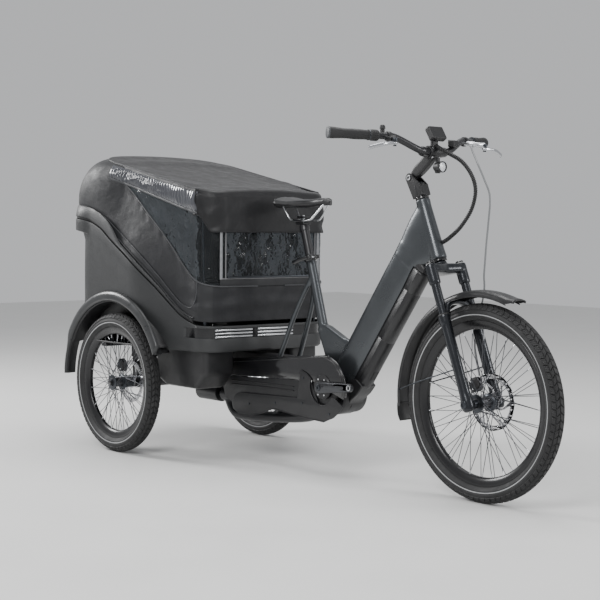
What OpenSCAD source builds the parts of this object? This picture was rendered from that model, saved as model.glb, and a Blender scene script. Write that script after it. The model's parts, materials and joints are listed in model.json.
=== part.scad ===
// Tilting family trike: one steered front wheel, two rear wheels, passenger tub with a rain canopy.
// Frame: +X is the direction of travel, +Y is the rider's left, +Z is up.
// Origin: on the ground, below the middle of the rear axle line.

/* [Wheels] */
// Distance between the front and the rear axle
wheelbase = 1510; // [1505:1:1515]
// Radius of the front tyre
front_r = 309; // [305:1:311]
// Radius of the rear tyres
rear_r = 260; // [257:1:261]
// Distance between the middles of the rear tyres
track = 690; // [688:1:694]
// Spokes in each wheel
spoke_count = 28; // [20:4:36]

/* [Steering] */
// Angle of the steering axis to the ground
head_angle = 68.5; // [68:0.1:69]
// Height of the lower end of the head tube
head_z = 746; // [744:1:750]
// Length of the head tube
head_len = 206; // [200:1:210]
// Distance of the front axle ahead of the steering axis
fork_offset = 20; // [18:1:22]
// Distance of each fork leg from the middle
leg_y = 68; // [67:0.5:70]
// Length of each straight grip section of the handlebar
grip_span = 176; // [172:1:178]

/* [Frame] */
// Width of the down tube
down_w = 70; // [66:1:74]
// Depth of the down tube in side view
down_depth = 116; // [112:1:120]
// Radius of the seat tube
seat_tube_r = 17.5; // [17.5:0.1:19]
// Length of each crank arm between its centres
crank_len = 150; // [140:1:160]

/* [Tub] */
// Half of the tub's width over the rear wheels
tub_half = 366; // [362:1:368]
// Half of the tub's width at its front corners
tub_front_half = 288; // [284:1:292]
// Place of the tub's front face
tub_front = 478; // [476:1:480]
// Height of the tub's lower edge
tub_bottom = 400; // [400:0.5:402]
// Wall thickness of the moulded tub
wall = 8; // [6:0.5:8]

/* [Canopy] */
// Half of the roof's width
roof_half = 290; // [284:1:292]
// Height of the roof's rear edge
roof_top = 1107; // [1100:1:1112]
// Thickness of the canopy sheets
sheet = 3; // [2:0.5:3]

/* [Hidden] */
$fn = 64;
gap = 0.1;              // space between pieces that are fastened to each other
run = 0.05;             // radial clearance of a running fit

// --- helpers ---------------------------------------------------------------------------------

module rod(p, q, r) {
  v = q - p;
  translate(p)
    rotate([0, acos(v[2] / norm(v)), atan2(v[1], v[0])])
      cylinder(h = norm(v), r = r);
}

// A bent tube with a slightly larger ball at each inner corner
module tube(points, r) {
  for (i = [0 : len(points) - 2]) rod(points[i], points[i + 1], r);
  for (i = [1 : 1 : len(points) - 2]) translate(points[i]) sphere(1.03 * r);
}

// A cylinder across the trike, from y0 to y1
module across(x, z, y0, y1, r) {
  translate([x, y1, z]) rotate([90, 0, 0]) cylinder(h = y1 - y0, r = r);
}

// A side-view outline given thickness from y0 to y1
module slab(y0, y1) {
  translate([0, y1, 0]) rotate([90, 0, 0]) linear_extrude(y1 - y0) children();
}

module box(low, high) {
  translate(low) cube(high - low);
}

module both_sides() {
  children();
  mirror([0, 1, 0]) children();
}

// A closed sheet between two grids of points
module skin(outer, inner) {
  rows = len(outer);
  cols = len(outer[0]);
  function at(i, j, k) = (k * rows + i) * cols + j;
  function quad(a, b, c, d) = [[a, b, c], [a, c, d]];
  points = concat([for (row = outer) each row], [for (row = inner) each row]);
  faces = concat(
    [for (i = [0 : rows - 2], j = [0 : cols - 2])
      each quad(at(i, j, 0), at(i, j + 1, 0), at(i + 1, j + 1, 0), at(i + 1, j, 0))],
    [for (i = [0 : rows - 2], j = [0 : cols - 2])
      each quad(at(i, j, 1), at(i + 1, j, 1), at(i + 1, j + 1, 1), at(i, j + 1, 1))],
    [for (i = [0 : rows - 2], side = [0, 1])
      let (j = side * (cols - 1))
      each side == 0
        ? quad(at(i, j, 0), at(i + 1, j, 0), at(i + 1, j, 1), at(i, j, 1))
        : quad(at(i, j, 0), at(i, j, 1), at(i + 1, j, 1), at(i + 1, j, 0))],
    [for (j = [0 : cols - 2], end = [0, 1])
      let (i = end * (rows - 1))
      each end == 0
        ? quad(at(i, j, 0), at(i, j, 1), at(i, j + 1, 1), at(i, j + 1, 0))
        : quad(at(i, j, 0), at(i, j + 1, 0), at(i, j + 1, 1), at(i, j, 1))]);
  polyhedron(points = points, faces = faces);
}

function soft_min(a, b, k) = (a + b - sqrt((a - b) * (a - b) + k * k)) / 2;
function soft_max(a, b, k) = (a + b + sqrt((a - b) * (a - b) + k * k)) / 2;
function ease(t) = let (c = min(1, max(0, t))) c * c * (3 - 2 * c);
function mix(a, b, t) = a + (b - a) * t;
function steps(a, b, n) = [for (i = [0 : n]) mix(a, b, i / n)];

// --- wheels ----------------------------------------------------------------------------------

casing_r = 30;          // half of every tyre's width
bead_depth = 55;        // tyre radius down to the rim's edge
rim_half = 16;
rim_depth = 25;
flange_r = 27;
spoke_r = 1.2;

module tyre(r) {
  rotate([90, 0, 0]) rotate_extrude($fn = 96) difference() {
    translate([r - casing_r, 0]) circle(casing_r);
    translate([r - casing_r, 0]) circle(casing_r - 4);
    translate([0, -2 * casing_r]) square([r - bead_depth, 4 * casing_r]);
  }
}

module rim(r) {
  edge = r - bead_depth - gap;
  rotate([90, 0, 0]) rotate_extrude($fn = 96) difference() {
    polygon([
      [edge, -rim_half], [edge, rim_half],
      [edge - 0.6 * rim_depth, rim_half - 3], [edge - rim_depth, 5],
      [edge - rim_depth, -5], [edge - 0.6 * rim_depth, 3 - rim_half],
    ]);
    polygon([
      [edge - 4, 3 - rim_half], [edge - 4, rim_half - 3],
      [edge - 0.6 * rim_depth, rim_half - 6], [edge - rim_depth + 3, 3],
      [edge - rim_depth + 3, -3], [edge - 0.6 * rim_depth, 6 - rim_half],
    ]);
  }
}

// Hub shell, two flanges and crossed spokes that end at the rim's inner face
module hub(r, half, bore) {
  reach = r - bead_depth - rim_depth - 0.4;
  difference() {
    union() {
      rotate([90, 0, 0]) translate([0, 0, -half]) cylinder(h = 2 * half, r = 17);
      for (side = [-1, 1])
        translate([0, side * (half - 4), 0]) rotate([90, 0, 0])
          cylinder(h = 4, r = flange_r, center = true);
      for (i = [0 : spoke_count - 1])
        let (
          side = i % 2 == 0 ? 1 : -1,
          lean = (i % 4 < 2 ? 1 : -1) * 45,
          turn = i * 360 / spoke_count,
          root = [(flange_r - 3) * cos(turn + lean), side * (half - 4), (flange_r - 3) * sin(turn + lean)],
          tip = [reach * cos(turn), side * 3, reach * sin(turn)]
        )
        rod(root, tip, spoke_r, $fn = 16);
    }
    rotate([90, 0, 0]) cylinder(h = 2 * half + 2, r = bore, center = true);
  }
}

// Brake disc about the y axis with a braking ring, six swept arms and a carrier
module disc(r, y, bore) {
  translate([0, y, 0]) rotate([90, 0, 0]) difference() {
    union() {
      difference() {
        cylinder(h = 2, r = r, center = true);
        cylinder(h = 4, r = r - 16, center = true);
      }
      cylinder(h = 2, r = 25, center = true);
      for (i = [0 : 5])
        rotate(i * 60) translate([18, 8, -1]) rotate(18) cube([r - 30, 6, 2]);
    }
    cylinder(h = 4, r = bore, center = true);
  }
}

// --- steering frame --------------------------------------------------------------------------

rake = 90 - head_angle;
axle_s = (front_r - head_z - fork_offset * sin(rake)) / cos(rake);   // axle's place along the axis
head_x = wheelbase - fork_offset * cos(rake) + axle_s * sin(rake);
steerer_r = 14.3;
stanchion_r = 14;
lower_r = 17;
crown_low = -52;
crown_high = -20;
seal_s = -188;
disc_y = 44;
front_disc_r = 90;

// Places children in the steering frame: z runs up the steering axis, x points forward
module steer() {
  translate([head_x, 0, head_z]) rotate([0, -rake, 0]) children();
}

module at_front_axle() {
  translate([wheelbase, 0, front_r]) children();
}

module fork_upper() color("#25272b") steer() {
  translate([0, 0, crown_high - 1]) {
    cylinder(h = head_len + 63 - crown_high, r = steerer_r);
    cylinder(h = -crown_high - 8, r = 22);
  }
  translate([0, 0, crown_low]) linear_extrude(crown_high - crown_low) hull() {
    circle(24);
    for (side = [-1, 1]) translate([fork_offset, side * leg_y]) circle(lower_r);
  }
  for (side = [-1, 1])
    translate([fork_offset, side * leg_y, seal_s - 142])
      cylinder(h = crown_low - seal_s + 143, r = stanchion_r);
}

module fork_lowers() color("#222429") steer() difference() {
  union() {
    for (side = [-1, 1]) translate([fork_offset, side * leg_y, 0]) {
      translate([0, 0, axle_s - 14]) cylinder(h = seal_s - axle_s + 14, r = lower_r);
      translate([0, 0, seal_s - 14]) cylinder(h = 14, r = lower_r + 2.5);
    }
    // arch over the tyre, below the fender
    translate([fork_offset + 12, 0, axle_s]) rotate([0, -90, 0]) linear_extrude(24)
      polygon([
        [262, -leg_y], [278, 13 - leg_y], [316, -44], [330, -26], [330, 26], [316, 44],
        [278, leg_y - 13], [262, leg_y], [262, 50], [300, 36], [315, 24], [315, -24], [300, -36],
        [262, -50],
      ]);
  }
  for (side = [-1, 1])
    translate([fork_offset, side * leg_y, seal_s - 208])
      cylinder(h = 210, r = stanchion_r + run);
  translate([fork_offset, 0, axle_s]) rotate([90, 0, 0])
    cylinder(h = 2 * leg_y + 60, r = 7.5 + gap, center = true);
}

module front_axle() color("#1c1d20") at_front_axle() {
  rotate([90, 0, 0]) cylinder(h = 2 * (leg_y + lower_r) + 4, r = 7.5, center = true);
  for (side = [-1, 1]) translate([0, side * (leg_y + lower_r + 3.2), 0]) rotate([90, 0, 0])
    cylinder(h = 5, r = 11, center = true);
}

// Two halves of a brake caliper about the disc plane at y = 0
module caliper_halves(size, slot) {
  for (side = [-1, 1])
    translate([0, side * (slot + size[1]) / 2, 0]) cube(size, center = true);
}

module front_caliper() color("#17181a") steer()
  translate([fork_offset - 44, disc_y, axle_s + 70]) {
    caliper_halves([42, 8, 46], 5);
    translate([-26, -10, -6]) cube([5.5, 20, 20]);
    // ears that bolt to the back of the fork leg
    translate([20, leg_y - disc_y - 12, -8]) cube([6.9, 22, 26]);
    translate([10, 2.5, -8]) cube([12, 18, 26]);
  }

fender_r = 346;
fender_half = 33;

// Curved mudguard about the front axle, with a flap behind and two wire stays
module front_fender() color("#131416") {
  at_front_axle() rotate([90, 0, 0]) {
    rotate_extrude(angle = 118, start = 69, $fn = 96) polygon([
      [fender_r - 16, fender_half], [fender_r - 4, fender_half - 4], [fender_r, fender_half - 16],
      [fender_r, 16 - fender_half], [fender_r - 4, 4 - fender_half], [fender_r - 16, -fender_half],
      [fender_r - 13, -fender_half], [fender_r - 1, 2 - fender_half], [fender_r + 3, 16 - fender_half],
      [fender_r + 3, fender_half - 16], [fender_r - 1, fender_half - 2], [fender_r - 13, fender_half],
    ]);
    rotate_extrude(angle = 9, start = 186, $fn = 96)
      translate([fender_r + 3.2, 6 - fender_half]) square([3, 2 * (fender_half - 6)]);
  }
  both_sides() rod(
    [wheelbase - fender_r + 14, fender_half - 1, front_r + 18],
    [wheelbase - 54, leg_y - 20.2, front_r + 119], 2.5, $fn = 24);
}

module front_tyre() color("#1a1a1b") at_front_axle() tyre(front_r);
module front_rim() color("#121315") at_front_axle() rim(front_r);
module front_hub() color("#2a2b2e") at_front_axle() hub(front_r, 32, 7.5 + run);
module front_disc() color("silver") at_front_axle() difference() {
  union() {
    disc(front_disc_r, disc_y, 7.5 + run);
    translate([0, disc_y - 0.9, 0]) rotate([90, 0, 0]) cylinder(h = disc_y - 33.3, r = 20);
  }
  rotate([90, 0, 0]) cylinder(h = 200, r = 7.5 + run, center = true);
}

module headset_cups() color("#1b1c1e") steer() {
  for (place = [[-8, 26, 24], [head_len + gap, 23, 21]])
    translate([0, 0, place[0]]) difference() {
      cylinder(h = 8 - gap, r1 = place[1] - 2, r2 = place[1] - 2);
      translate([0, 0, -1]) cylinder(h = 12, r = steerer_r + run);
    }
}

// --- stem and handlebar ----------------------------------------------------------------------

pivot = [head_x - 121, head_z + 262];     // stem pivot, x and z
clamp = [pivot[0] + 86, pivot[1] + 79];   // handlebar clamp, x and z
bar_r = 11.1;
clamp_r = 15.9;
bar_bend = [clamp[0] - 29, 195, clamp[1] + 44];    // where the straight grip section starts
bar_dir = [-59, 127, 5] / norm([59, 127, 5]);
lever_pivot = [clamp[0] + 37, 205, clamp[1] + 21];

module stem_base() color("#151618") difference() {
  union() {
    steer() translate([0, 0, head_len + 8.2]) cylinder(h = 46, r = 20.5);
    for (side = [-1, 1]) slab(side * 17 - 3, side * 17 + 3) hull() {
      translate(pivot) circle(13);
      translate([head_x - 112, head_z + 224]) circle(16);
    }
  }
  steer() cylinder(h = head_len + 64, r = steerer_r + gap);
  slab(-13.9, 13.9) translate(pivot) circle(15);
}

// Adjustable arm: pivot boss behind, handlebar clamp ahead
module stem_arm() color("#17181a") difference() {
  union() {
    across(pivot[0], pivot[1], -13.5, 13.5, 12);
    slab(-13, 13) hull() {
      translate(pivot + [14, 13]) circle(9);
      translate(clamp - [12, 11]) circle(12);
    }
    across(clamp[0], clamp[1], -24, 24, clamp_r + 5);
  }
  across(clamp[0], clamp[1], -30, 30, clamp_r + gap);
}

module handlebar() color("#1d1e20") {
  across(clamp[0], clamp[1], -38, 38, clamp_r);
  both_sides() tube([
    [clamp[0], 30, clamp[1]], [clamp[0] + 4, 75, clamp[1] + 8],
    [bar_bend[0] + 10, 150, bar_bend[2] - 3], bar_bend, bar_bend + grip_span * bar_dir,
  ], bar_r);
}

module sleeve(t0, t1, r) {
  difference() {
    rod(bar_bend + t0 * bar_dir, bar_bend + t1 * bar_dir, r);
    rod(bar_bend + (t0 - 1) * bar_dir, bar_bend + (t1 + 1) * bar_dir, bar_r + run);
  }
}

module grips() color("#0f0f10") both_sides() {
  sleeve(44, grip_span - 4, 16);
  rod(bar_bend + (grip_span + gap) * bar_dir, bar_bend + (grip_span + 4) * bar_dir, 16);
}

module twist_shifter() color("#141517") mirror([0, 1, 0]) sleeve(14, 42, 18);

// Lever clamps and brake cylinders, display and assist buttons
module controls() color("#202124") {
  both_sides() {
    difference() {
      union() {
        rod([bar_bend[0] + 7, 165, bar_bend[2] - 2], [bar_bend[0] + 3, 182, bar_bend[2] - 1], 16);
        rod([bar_bend[0] + 14, 172, bar_bend[2] - 8], lever_pivot + [2, 0, 8], 9);
        translate(lever_pivot + [0, 0, 3]) cylinder(h = 10, r = 9);
      }
      rod([bar_bend[0] + 10, 150, bar_bend[2] - 3], bar_bend, bar_r + gap);
      translate(lever_pivot - [0, 0, 20]) cylinder(h = 23, r = 30);
    }
    translate(lever_pivot - [0, 0, 9]) cylinder(h = 13, r = 3);
    translate(lever_pivot - [0, 0, 11]) cylinder(h = 2.5, r = 6);
  }
  translate([clamp[0] + 12, 0, clamp[1] + 58]) rotate([0, -32, 0]) cube([26, 62, 44], center = true);
  translate([clamp[0] + 3, -14, clamp[1] + clamp_r + 5.2]) cube([12, 28, 30]);
  translate([clamp[0] + 22, 76, clamp[1] + 12]) cube([24, 30, 22]);
}

module lever_blade() {
  difference() {
    union() {
      translate(lever_pivot - [0, 0, 8]) cylinder(h = 10, r = 8);
      tube([
        lever_pivot - [0, -4, 3], lever_pivot + [5, 45, -6], lever_pivot + [-10, 90, -18],
      ], 4.5);
    }
    translate(lever_pivot - [0, 0, 20]) cylinder(h = 40, r = 3 + run);
    translate(lever_pivot - [0, 0, 30]) cylinder(h = 21.9, r = 12);
    translate(lever_pivot + [0, 0, 2.5]) cylinder(h = 20, r = 12);
  }
}

module brake_lever_left() color("#b8babd") lever_blade();
module brake_lever_right() color("#b8babd") mirror([0, 1, 0]) lever_blade();

module headlight() color("#16171a") {
  translate([clamp[0] + 12, 0, clamp[1] - 47]) rotate([0, 90, 0]) cylinder(h = 36, r1 = 14, r2 = 18);
  translate([clamp[0] + 20, -6, clamp[1] - 34]) cube([10, 12, 14]);
  translate([clamp[0] + 22, 0, clamp[1] - 66]) cylinder(h = 10, r1 = 8, r2 = 11);
}

// --- main frame ------------------------------------------------------------------------------

down_angle = 54.7;
down_at = [1098, 616];                 // a point on the down tube's middle line
crank_at = [865, 304];
hub_at = [362, 280];
tilt_z = 215;
lock_at = [548, 300];                  // cross tube that carries the tilt lock, x and z
seat_low = [771, 0, 494];
seat_high = [695, 0, 742];
seat_dir = (seat_high - seat_low) / norm(seat_high - seat_low);
seat_angle = atan2(seat_high[0] - seat_low[0], seat_high[2] - seat_low[2]);
post_r = 15.5;
stay_r = 9;
motor_half = 56;
battery_low = -318;                    // along the down tube
battery_high = 165;
battery_out = 84;                      // distance of the cover from the tube's middle line

// Down tube frame: x runs up the tube, z points up and back
module down() {
  translate([down_at[0], 0, down_at[1]]) rotate([0, -down_angle, 0]) children();
}

// Seat tube frame: z runs up the tube from its upper end, x points forward
module seat_axis() {
  translate(seat_high) rotate([0, seat_angle, 0]) children();
}

module motor_outline(grow) {
  offset(r = grow) hull() {
    translate(crank_at) circle(58);
    translate(crank_at + [50, -42]) circle(72);
  }
}

module down_section() {
  offset(r = 20) square([down_depth - 40, down_w - 40], center = true);
}

module main_frame() color("#3a3e42") difference() {
  union() {
    down() translate([-345, 0, 0]) rotate([0, 90, 0]) linear_extrude(560) down_section();
    hull() {
      down() translate([160, 0, 0]) rotate([0, 90, 0]) linear_extrude(10) down_section();
      steer() cylinder(h = head_len, r1 = 25, r2 = 21, $fn = 32);
    }
    steer() cylinder(h = head_len, r1 = 27, r2 = 22);
    rod(seat_low, seat_high, seat_tube_r);
    rod(seat_low, [905, 0, 446], 16);
    translate(seat_low) sphere(seat_tube_r + 2);
    // yoke that carries the motor under the seat tube
    slab(-17, 17) polygon([
      [757, 488], [785, 505], [884, 462], [910, 440], [880, 372], [838, 352], [800, 372], [782, 430],
    ]);
    // seat stays, which pass inside the belts, and the plates that hold the gear hub
    both_sides() {
      tube([[714, 11, 668], [664, 34, 554], [592, 46, 388], [555, 48, 292], [545, 48, 205]], stay_r);
      slab(74, 79) hull() {
        translate(hub_at) circle(20);
        translate([545, 205]) circle(15);
      }
    }
    across(545, 205, -79, 79, 13);
    box([534, -12, 158], [556, 12, 206]);
    across(lock_at[0], lock_at[1], -50, 50, 8);
    // lower tube back to the tilt pivot, and the pivot shaft
    tube([[835, 0, 225], [648, 0, 171], [274, 0, 148], [234, 0, 205]], 20);
    rod([212, 0, tilt_z], [262, 0, tilt_z], 28);
    rod([60, 0, tilt_z], [230, 0, tilt_z], 16);
    // fixed cap above the battery
    down() box([battery_high - 4, -27, -battery_out + 8], [battery_high + 24, 27, -20]);
    // hub axle between the plates
    across(hub_at[0], hub_at[1], -80.5, 80.5, 6);
  }
  steer() translate([0, 0, -1]) cylinder(h = head_len + 2, r = steerer_r + 2.5);
  steer() translate([0, 0, -12]) cylinder(h = 12, r = 34);
  slab(-motor_half - 3, motor_half + 3) motor_outline(0.4);
  slab(-29, 29) translate(crank_at + [50, -42]) circle(73);
  // battery bay along the underside of the down tube
  down() box([battery_low - 60, -29, -battery_out - 20], [battery_high + 1, 29, -27]);
  rod(seat_high - 235 * seat_dir, seat_high + 5 * seat_dir, post_r + run);
}

module motor() color("#17181a") difference() {
  slab(-motor_half, motor_half) motor_outline(0);
  across(crank_at[0], crank_at[1], -motor_half - 1, motor_half + 1, 12 + run);
}

module battery() color("#141517") down() difference() {
  union() {
    box([battery_low, -27, -battery_out + 8], [battery_high, 27, -28]);
    translate([battery_low, 0, -battery_out + 12]) rotate([0, 90, 0])
      linear_extrude(battery_high - battery_low) offset(r = 10) square([4, 36], center = true);
  }
  // charging socket near the lower end
  translate([battery_low + 60, 0, -battery_out - 5]) cylinder(h = 12, r = 8);
}

module seat_collar() color("#1a1b1d") seat_axis() translate([0, 0, -16]) difference() {
  union() {
    cylinder(h = 15, r = seat_tube_r + 6);
    translate([18, -12, 0]) cube([22, 24, 15]);
    translate([31, 20, 7.5]) rotate([90, 0, 0]) cylinder(h = 42.8, r = 3.5);
    translate([31, 20, 7.5]) rotate([90, 0, 0]) cylinder(h = 8, r = 6);
  }
  translate([0, 0, -1]) cylinder(h = 17, r = seat_tube_r + gap);
  translate([17, -1.5, -1]) cube([26, 3, 17]);
}

module qr_lever() color("#141416") seat_axis() translate([31, -32, -16]) {
  translate([0, 0, -1]) cylinder(h = 17, r = 9);
  rod([-6, -2, 7.5], [-78, -12, 7.5], 5);
}

module seatpost() color("#26282b") {
  rod(seat_high - 150 * seat_dir, seat_high + 122 * seat_dir, post_r);
  seat_axis() {
    difference() {
      translate([0, 0, 74]) cylinder(h = 8, r = post_r + 5);
      translate([0, 0, 73]) cylinder(h = 10, r = post_r + gap);
    }
    translate([-8, 0, 130]) rotate([0, -seat_angle, 0]) {
      translate([0, 0, -14]) cylinder(h = 10, r = 15);
      box([-22, -30, -5], [22, 30, 1]);
      box([-18, -14, 9], [18, 14, 14]);
      cylinder(h = 12, r = 4);
    }
  }
}

rail_base = seat_high + 130 * seat_dir;
rail_z = rail_base[2] + 4.9;

module saddle_rails() color("silver") both_sides() tube([
  [778, 12, 916], [712, 22, rail_z], [620, 22, rail_z], [578, 30, 918],
], 3.5);

module saddle() color("#101011") difference() {
  hull() {
    translate([790, 0, 936]) sphere(13, $fn = 32);
    translate([690, 0, 934]) sphere(18, $fn = 32);
    for (side = [-1, 1]) translate([576, side * 48, 934]) scale([1, 1, 0.75]) sphere(30, $fn = 32);
  }
  box([500, -100, 850], [850, 100, 922.5]);
}

// --- drive -----------------------------------------------------------------------------------

belt_y = -66;
belt_half = 6;
crank_pulley_r = 56;
hub_pulley_r = 32;
output_pulley_r = 30;
axle_pulley_r = 42;
axle_belt_y = 66;
belt_thick = 4;
belt_gap = 0.4;

module belt(a, ra, b, rb, y) {
  slab(y - belt_half, y + belt_half) difference() {
    hull() {
      translate(a) circle(ra + belt_gap + belt_thick, $fn = 120);
      translate(b) circle(rb + belt_gap + belt_thick, $fn = 120);
    }
    hull() {
      translate(a) circle(ra + belt_gap, $fn = 120);
      translate(b) circle(rb + belt_gap, $fn = 120);
    }
  }
}

module drive_belt() color("#0e0e0f") belt(crank_at, crank_pulley_r, hub_at, hub_pulley_r, belt_y);
module axle_belt() color("#0e0e0f")
  belt([0, rear_r], axle_pulley_r, hub_at, output_pulley_r, axle_belt_y);

module front_pulley() color("#2a2b2d") difference() {
  across(crank_at[0], crank_at[1], belt_y - belt_half, belt_y + belt_half, crank_pulley_r);
  across(crank_at[0], crank_at[1], -100, 0, 12 + gap);
  for (i = [0 : 4])
    translate([crank_at[0], belt_y, crank_at[1]]) rotate([90, i * 72, 0])
      translate([34, 0, 0]) cylinder(h = 20, r = 11, center = true);
}

module hub_pulley() color("#b9bbbe") difference() {
  across(hub_at[0], hub_at[1], belt_y - belt_half, belt_y + belt_half, hub_pulley_r);
  across(hub_at[0], hub_at[1], -100, 0, 6 + run);
}

module gear_hub() color("#8d9094") difference() {
  union() {
    across(hub_at[0], hub_at[1], -56, 58, 44);
    for (y = [-50, 44]) across(hub_at[0], hub_at[1], y, y + 5, 51);
    across(hub_at[0], hub_at[1], 57, axle_belt_y + belt_half, output_pulley_r);
  }
  across(hub_at[0], hub_at[1], -100, 100, 6 + run);
}

module crank_arm(y0, y1) {
  slab(y0, y1) hull() {
    circle(17);
    translate([crank_len, 12]) circle(13.5);
  }
}

module crankset() color("#6d7075") difference() {
  union() {
    across(crank_at[0], crank_at[1], -108, 108, 12);
    translate([crank_at[0], 0, crank_at[1]]) {
      crank_arm(-108, -95);
      rotate([0, 180, 0]) crank_arm(95, 108);
    }
  }
  translate([crank_at[0], 0, crank_at[1]]) {
    translate([crank_len, 0, 12]) rotate([90, 0, 0]) cylinder(h = 300, r = 7.1);
    rotate([0, 180, 0]) translate([crank_len, 0, 12]) rotate([90, 0, 0])
      translate([0, 0, -300]) cylinder(h = 300, r = 7.1);
  }
}

module guard_outline(inset) {
  offset(delta = -inset) polygon(concat(
    [[318, 300], [306, 330], [330, 354]],
    [for (a = [98 : -12 : -18]) crank_at + 107 * [cos(a), sin(a)]],
    [crank_at + [60, -20], crank_at - [60, 20]]));
}

// Upper cover of the drive belt: a plate with a rim along its top and round the crank
module belt_guard() color("#0c0c0e") difference() {
  union() {
    slab(-86, -82) guard_outline(0);
    slab(-82, -74) difference() {
      guard_outline(0);
      guard_outline(4);
      translate([250, 160]) square([760, 148]);
      translate([470, 250]) square([110, 220]);
    }
  }
  across(crank_at[0], crank_at[1], -90, -70, 48);
}

// Lower cover: a C round the crank that tapers back below the belt
module drive_cover() color("#55585c") slab(-92, -87) difference() {
  hull() {
    translate(crank_at - [8, 22]) circle(90);
    translate(crank_at - [12, 76]) circle(46);
  }
  translate(crank_at) circle(48);
  translate(crank_at) polygon([[0, 0], [200, -60], [200, 200], [-20, 200]]);
}

module tilt_lock_lever() color("#c4c6c9") difference() {
  union() {
    across(lock_at[0], lock_at[1], -36, -14, 14);
    tube([
      [lock_at[0] + 6, -25, lock_at[1] + 6], [lock_at[0] + 30, -25, lock_at[1] + 18],
      [lock_at[0] + 50, -25, lock_at[1] + 14],
    ], 5);
    rod([lock_at[0] + 50, -46, lock_at[1] + 14], [lock_at[0] + 50, -4, lock_at[1] + 14], 6);
  }
  across(lock_at[0], lock_at[1], -60, 0, 8 + run);
}

// --- rear wheels and chassis -----------------------------------------------------------------

half_track = track / 2;
rear_disc_y = 284;
rear_disc_r = 80;
shaft_r = 15;
shaft_in = 52;          // inner end of the driven half shaft

module at_rear(side) {
  translate([0, side * half_track, rear_r]) children();
}

module rear_hub(side, inner) {
  at_rear(side) hub(rear_r, 26, 1);
  translate([0, 0, rear_r]) rotate([side * 90, 0, 0]) mirror([0, 0, 1]) translate([0, 0, inner]) {
    cylinder(h = half_track - inner, r = shaft_r);
    translate([0, 0, rear_disc_y + 1.2 - inner]) cylinder(h = 34, r = 22);
  }
}

module rear_tyre_left() color("#1a1a1b") at_rear(1) tyre(rear_r);
module rear_tyre_right() color("#1a1a1b") at_rear(-1) tyre(rear_r);
module rear_rim_left() color("#121315") at_rear(1) rim(rear_r);
module rear_rim_right() color("#121315") at_rear(-1) rim(rear_r);
module rear_hub_left() color("#2a2b2e") {
  rear_hub(1, shaft_in);
  difference() {
    across(0, rear_r, axle_belt_y - belt_half, axle_belt_y + belt_half, axle_pulley_r);
    across(0, rear_r, 0, 100, shaft_r + gap);
  }
}
module rear_hub_right() color("#2a2b2e") rear_hub(-1, 60);
module rear_disc_left() color("silver")
  translate([0, 0, rear_r]) disc(rear_disc_r, rear_disc_y, shaft_r + gap);
module rear_disc_right() color("silver")
  translate([0, 0, rear_r]) disc(rear_disc_r, -rear_disc_y, shaft_r + gap);

module rear_calipers() color("#17181a") both_sides()
  translate([-57, rear_disc_y, rear_r + 57]) rotate([0, -45, 0]) {
    caliper_halves([40, 9, 44], 5);
    translate([-20, -11.5, 3]) cube([40, 23, 19]);
    translate([-10, -21, -42]) cube([20, 9.4, 34]);
  }

module chassis_frame() color("#1b1c1f") difference() {
  union() {
    across(0, rear_r, 78, 262, 26);
    across(0, rear_r, -262, -64, 26);
    for (y = [[78, 92], [-78, -64], [246, 262], [-262, -246]])
      box([-22, y[0], rear_r], [22, y[1], 372]);
    box([-30, -262, 350], [30, 262, 396]);
    box([-30, -40, 350], [200, 40, 396]);
    for (side = [-1, 1]) {
      box([-240, side * 104 - 20, 376], [300, side * 104 + 20, 396]);
    }
    box([270, -262, 376], [300, 262, 396]);
    box([-240, -262, 376], [-210, 262, 396]);
    box([70, -8, tilt_z], [196, 8, 372]);
    rod([70, 0, tilt_z], [196, 0, tilt_z], 34);
  }
  rod([60, 0, tilt_z], [210, 0, tilt_z], 16 + run);
  across(0, rear_r, 70, 270, shaft_r + run);
  across(0, rear_r, -270, -55, shaft_r + run);
}

// --- tub -------------------------------------------------------------------------------------

tub_rear = -262;
rim_rear = -316;
corner_r = 85;
well_r = 307;
well_y = 302;
rim_band = 42;          // height of the band below the tub's upper edge

// Half width of the tub at x, from the wide rear to the narrow front
function half_at(x) = mix(tub_half, tub_front_half, ease((x - 100) / 290));

// Upper edge of the tub at x
function rim_z(x) = soft_max(490, soft_min(872, 784 - 0.69 * x, 40), 20);

// Plan outline of the tub, drawn in by inset, with its rear wall at rear_x
function plan_half(inset, rear_x) = concat(
  [for (a = [0 : 15 : 75])
    [rear_x + 60 - (60 - inset) * cos(a), tub_half - 60 + (60 - inset) * sin(a)]],
  [for (x = concat([rear_x + 60], steps(100, tub_front - corner_r, 8))) [x, half_at(x) - inset]],
  [for (a = [75 : -15 : 0])
    [tub_front - corner_r + (corner_r - inset) * cos(a),
     tub_front_half - corner_r + (corner_r - inset) * sin(a)]]);

function mirrored(points) = [for (i = [len(points) - 1 : -1 : 0]) [points[i][0], -points[i][1]]];

module plan(inset, rear_x = tub_rear) {
  half = plan_half(inset, rear_x);
  polygon(concat(half, mirrored(half)));
}

// Side view of everything below the tub's upper edge, down to a line below it
module below_rim(drop) {
  xs = steps(rim_rear - 20, tub_front + 20, 28);
  slab(-500, 500) polygon(concat(
    [for (x = xs) [x, rim_z(x)]],
    [for (i = [len(xs) - 1 : -1 : 0]) [xs[i], drop > 0 ? rim_z(xs[i]) - drop : 300]]));
}

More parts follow.
